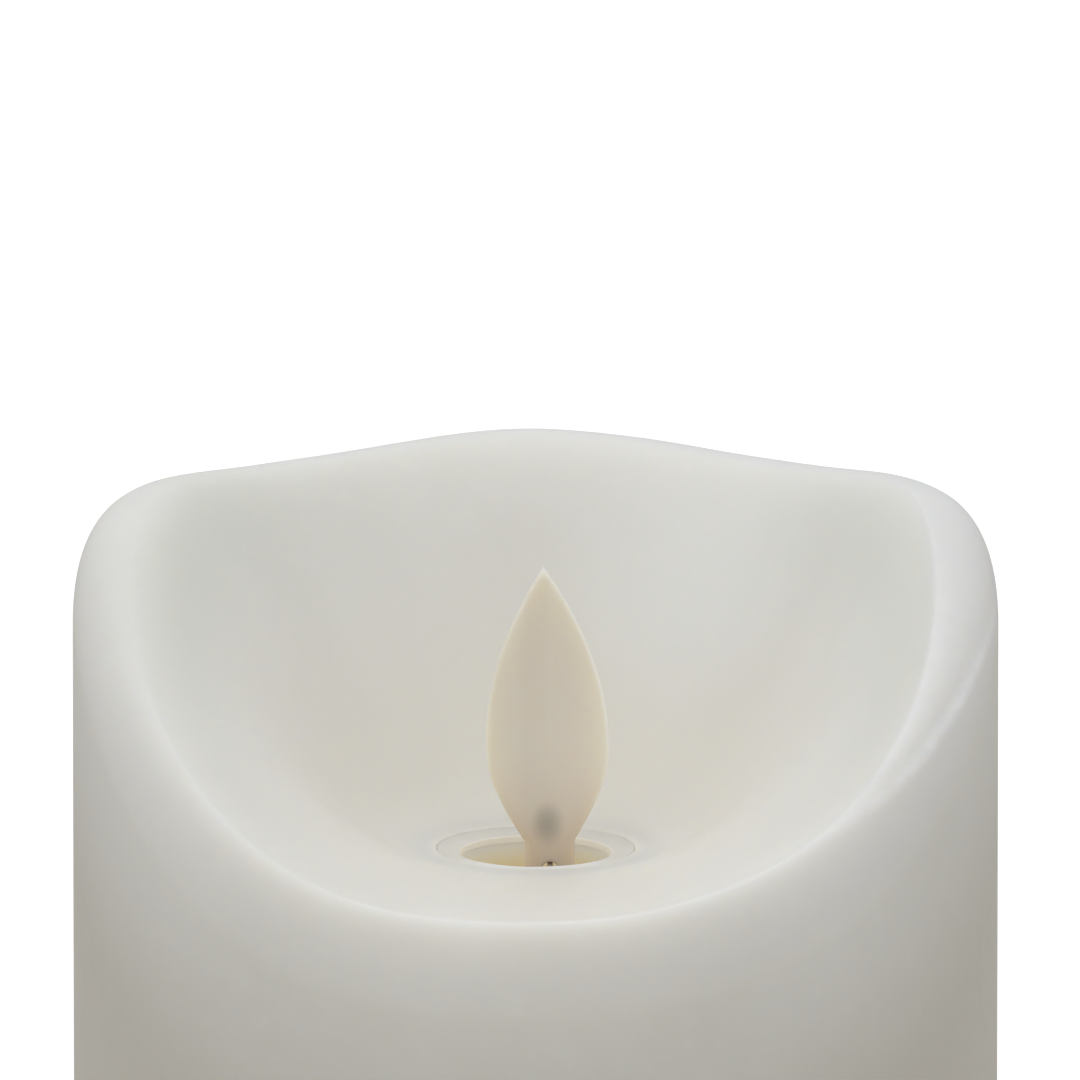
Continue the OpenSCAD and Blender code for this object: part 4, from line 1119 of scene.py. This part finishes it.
VIEW_PITCH = math.radians(12)
VIEW_WIDTH = 103.85 * MM                 # width of what the camera sees at the candle
LENS, SENSOR = 1200.0, 36.0
AIM_RIGHT, AIM_UP = 0.43 * MM, 29.93 * MM   # middle of the view from the collar's centre


def camera():
    """A long lens that looks down a little, framed as the picture is."""
    data = bpy.data.cameras.new("camera")
    data.lens, data.sensor_width = LENS, SENSOR
    forward = Vector((0, math.cos(VIEW_PITCH), -math.sin(VIEW_PITCH)))
    up = Vector((0, math.sin(VIEW_PITCH), math.cos(VIEW_PITCH)))
    away = VIEW_WIDTH * LENS / SENSOR
    obj = bpy.data.objects.new("camera", data)
    bpy.context.scene.collection.objects.link(obj)
    obj.location = Vector((AIM_RIGHT, 0, LIP_Z)) + up * AIM_UP - forward * away
    obj.rotation_euler = (math.pi / 2 - VIEW_PITCH, 0, 0)
    data.clip_start, data.clip_end = 0.05, 100
    bpy.context.scene.camera = obj


def world():
    """A pale cool room over a darker warm ground."""
    scene = bpy.context.scene
    scene.world = bpy.data.worlds.new("studio")
    scene.world.use_nodes = True
    tree = scene.world.node_tree
    nodes, links = tree.nodes, tree.links
    where = nodes.new("ShaderNodeTexCoord")
    split = nodes.new("ShaderNodeSeparateXYZ")
    links.new(where.outputs["Generated"], split.inputs[0])
    ramp = nodes.new("ShaderNodeValToRGB")
    ramp.color_ramp.interpolation = "EASE"
    ramp.color_ramp.elements[0].position = 0.24
    ramp.color_ramp.elements[0].color = (0.37, 0.352, 0.315, 1)
    ramp.color_ramp.elements[1].position = 0.82
    ramp.color_ramp.elements[1].color = (0.765, 0.776, 0.790, 1)
    shift = nodes.new("ShaderNodeMapRange")
    shift.inputs["From Min"].default_value = -1.0
    links.new(split.outputs["Z"], shift.inputs["Value"])
    links.new(shift.outputs["Result"], ramp.inputs[0])
    links.new(ramp.outputs[0], nodes["Background"].inputs["Color"])
    nodes["Background"].inputs["Strength"].default_value = 1.0


def sun(name, energy, spread, azimuth, elevation):
    """A soft sun, its azimuth counted from the front towards the right, all angles in degrees."""
    data = bpy.data.lights.new(name, "SUN")
    data.energy, data.angle = energy, math.radians(spread)
    obj = bpy.data.objects.new(name, data)
    bpy.context.scene.collection.objects.link(obj)
    a, e = math.radians(azimuth), math.radians(elevation)
    source = Vector((math.sin(a) * math.cos(e), -math.cos(a) * math.cos(e), math.sin(e)))
    obj.rotation_euler = source.to_track_quat("Z", "Y").to_euler()


def floor():
    """A pale floor for the camera alone: it lights nothing, and from below it is clear."""
    half = 15.0
    mesh = bpy.data.meshes.new("floor")
    mesh.from_pydata([(-half, -half, 0), (half, -half, 0), (half, half, 0), (-half, half, 0)], [],
                     [(0, 1, 2, 3)])
    obj = new_object("floor", mesh)
    s = Shader("pale_floor", (0.9, 0.9, 0.895), 0.8, Emission_Strength=0.3)
    s.surface.inputs["Emission Color"].default_value = (1, 1, 1, 1)
    s.relief((s.noise(900, detail=3), 0.02 * MM))
    back = s.add("ShaderNodeNewGeometry").outputs["Backfacing"]
    clear = s.add("ShaderNodeBsdfTransparent")
    choice = s.add("ShaderNodeMixShader")
    s.link(back, choice.inputs[0])
    s.link(s.surface.outputs[0], choice.inputs[1])
    s.link(clear.outputs[0], choice.inputs[2])
    s.link(choice.outputs[0], s.tree.nodes["Material Output"].inputs["Surface"])
    dress(obj, s.material)
    for ray in ("diffuse", "glossy", "transmission", "shadow"):
        setattr(obj, "visible_" + ray, False)


camera()
world()
sun("softbox_left", 0.57, 80, -50, 64)
sun("softbox_right", 0.09, 60, 62, 30)
floor()
bpy.context.scene.view_settings.view_transform = "Standard"

wax_piece()
flame_piece()
collar_piece()
cell_piece("battery_cell_left", True)
cell_piece("battery_cell_right", False)
spring_piece("bridge_spring", "battery_cell_left", True)
spring_piece("negative_spring", "battery_cell_right", False)
coil_piece()
door_ribs()
knob_ribs()
finish_nodes()
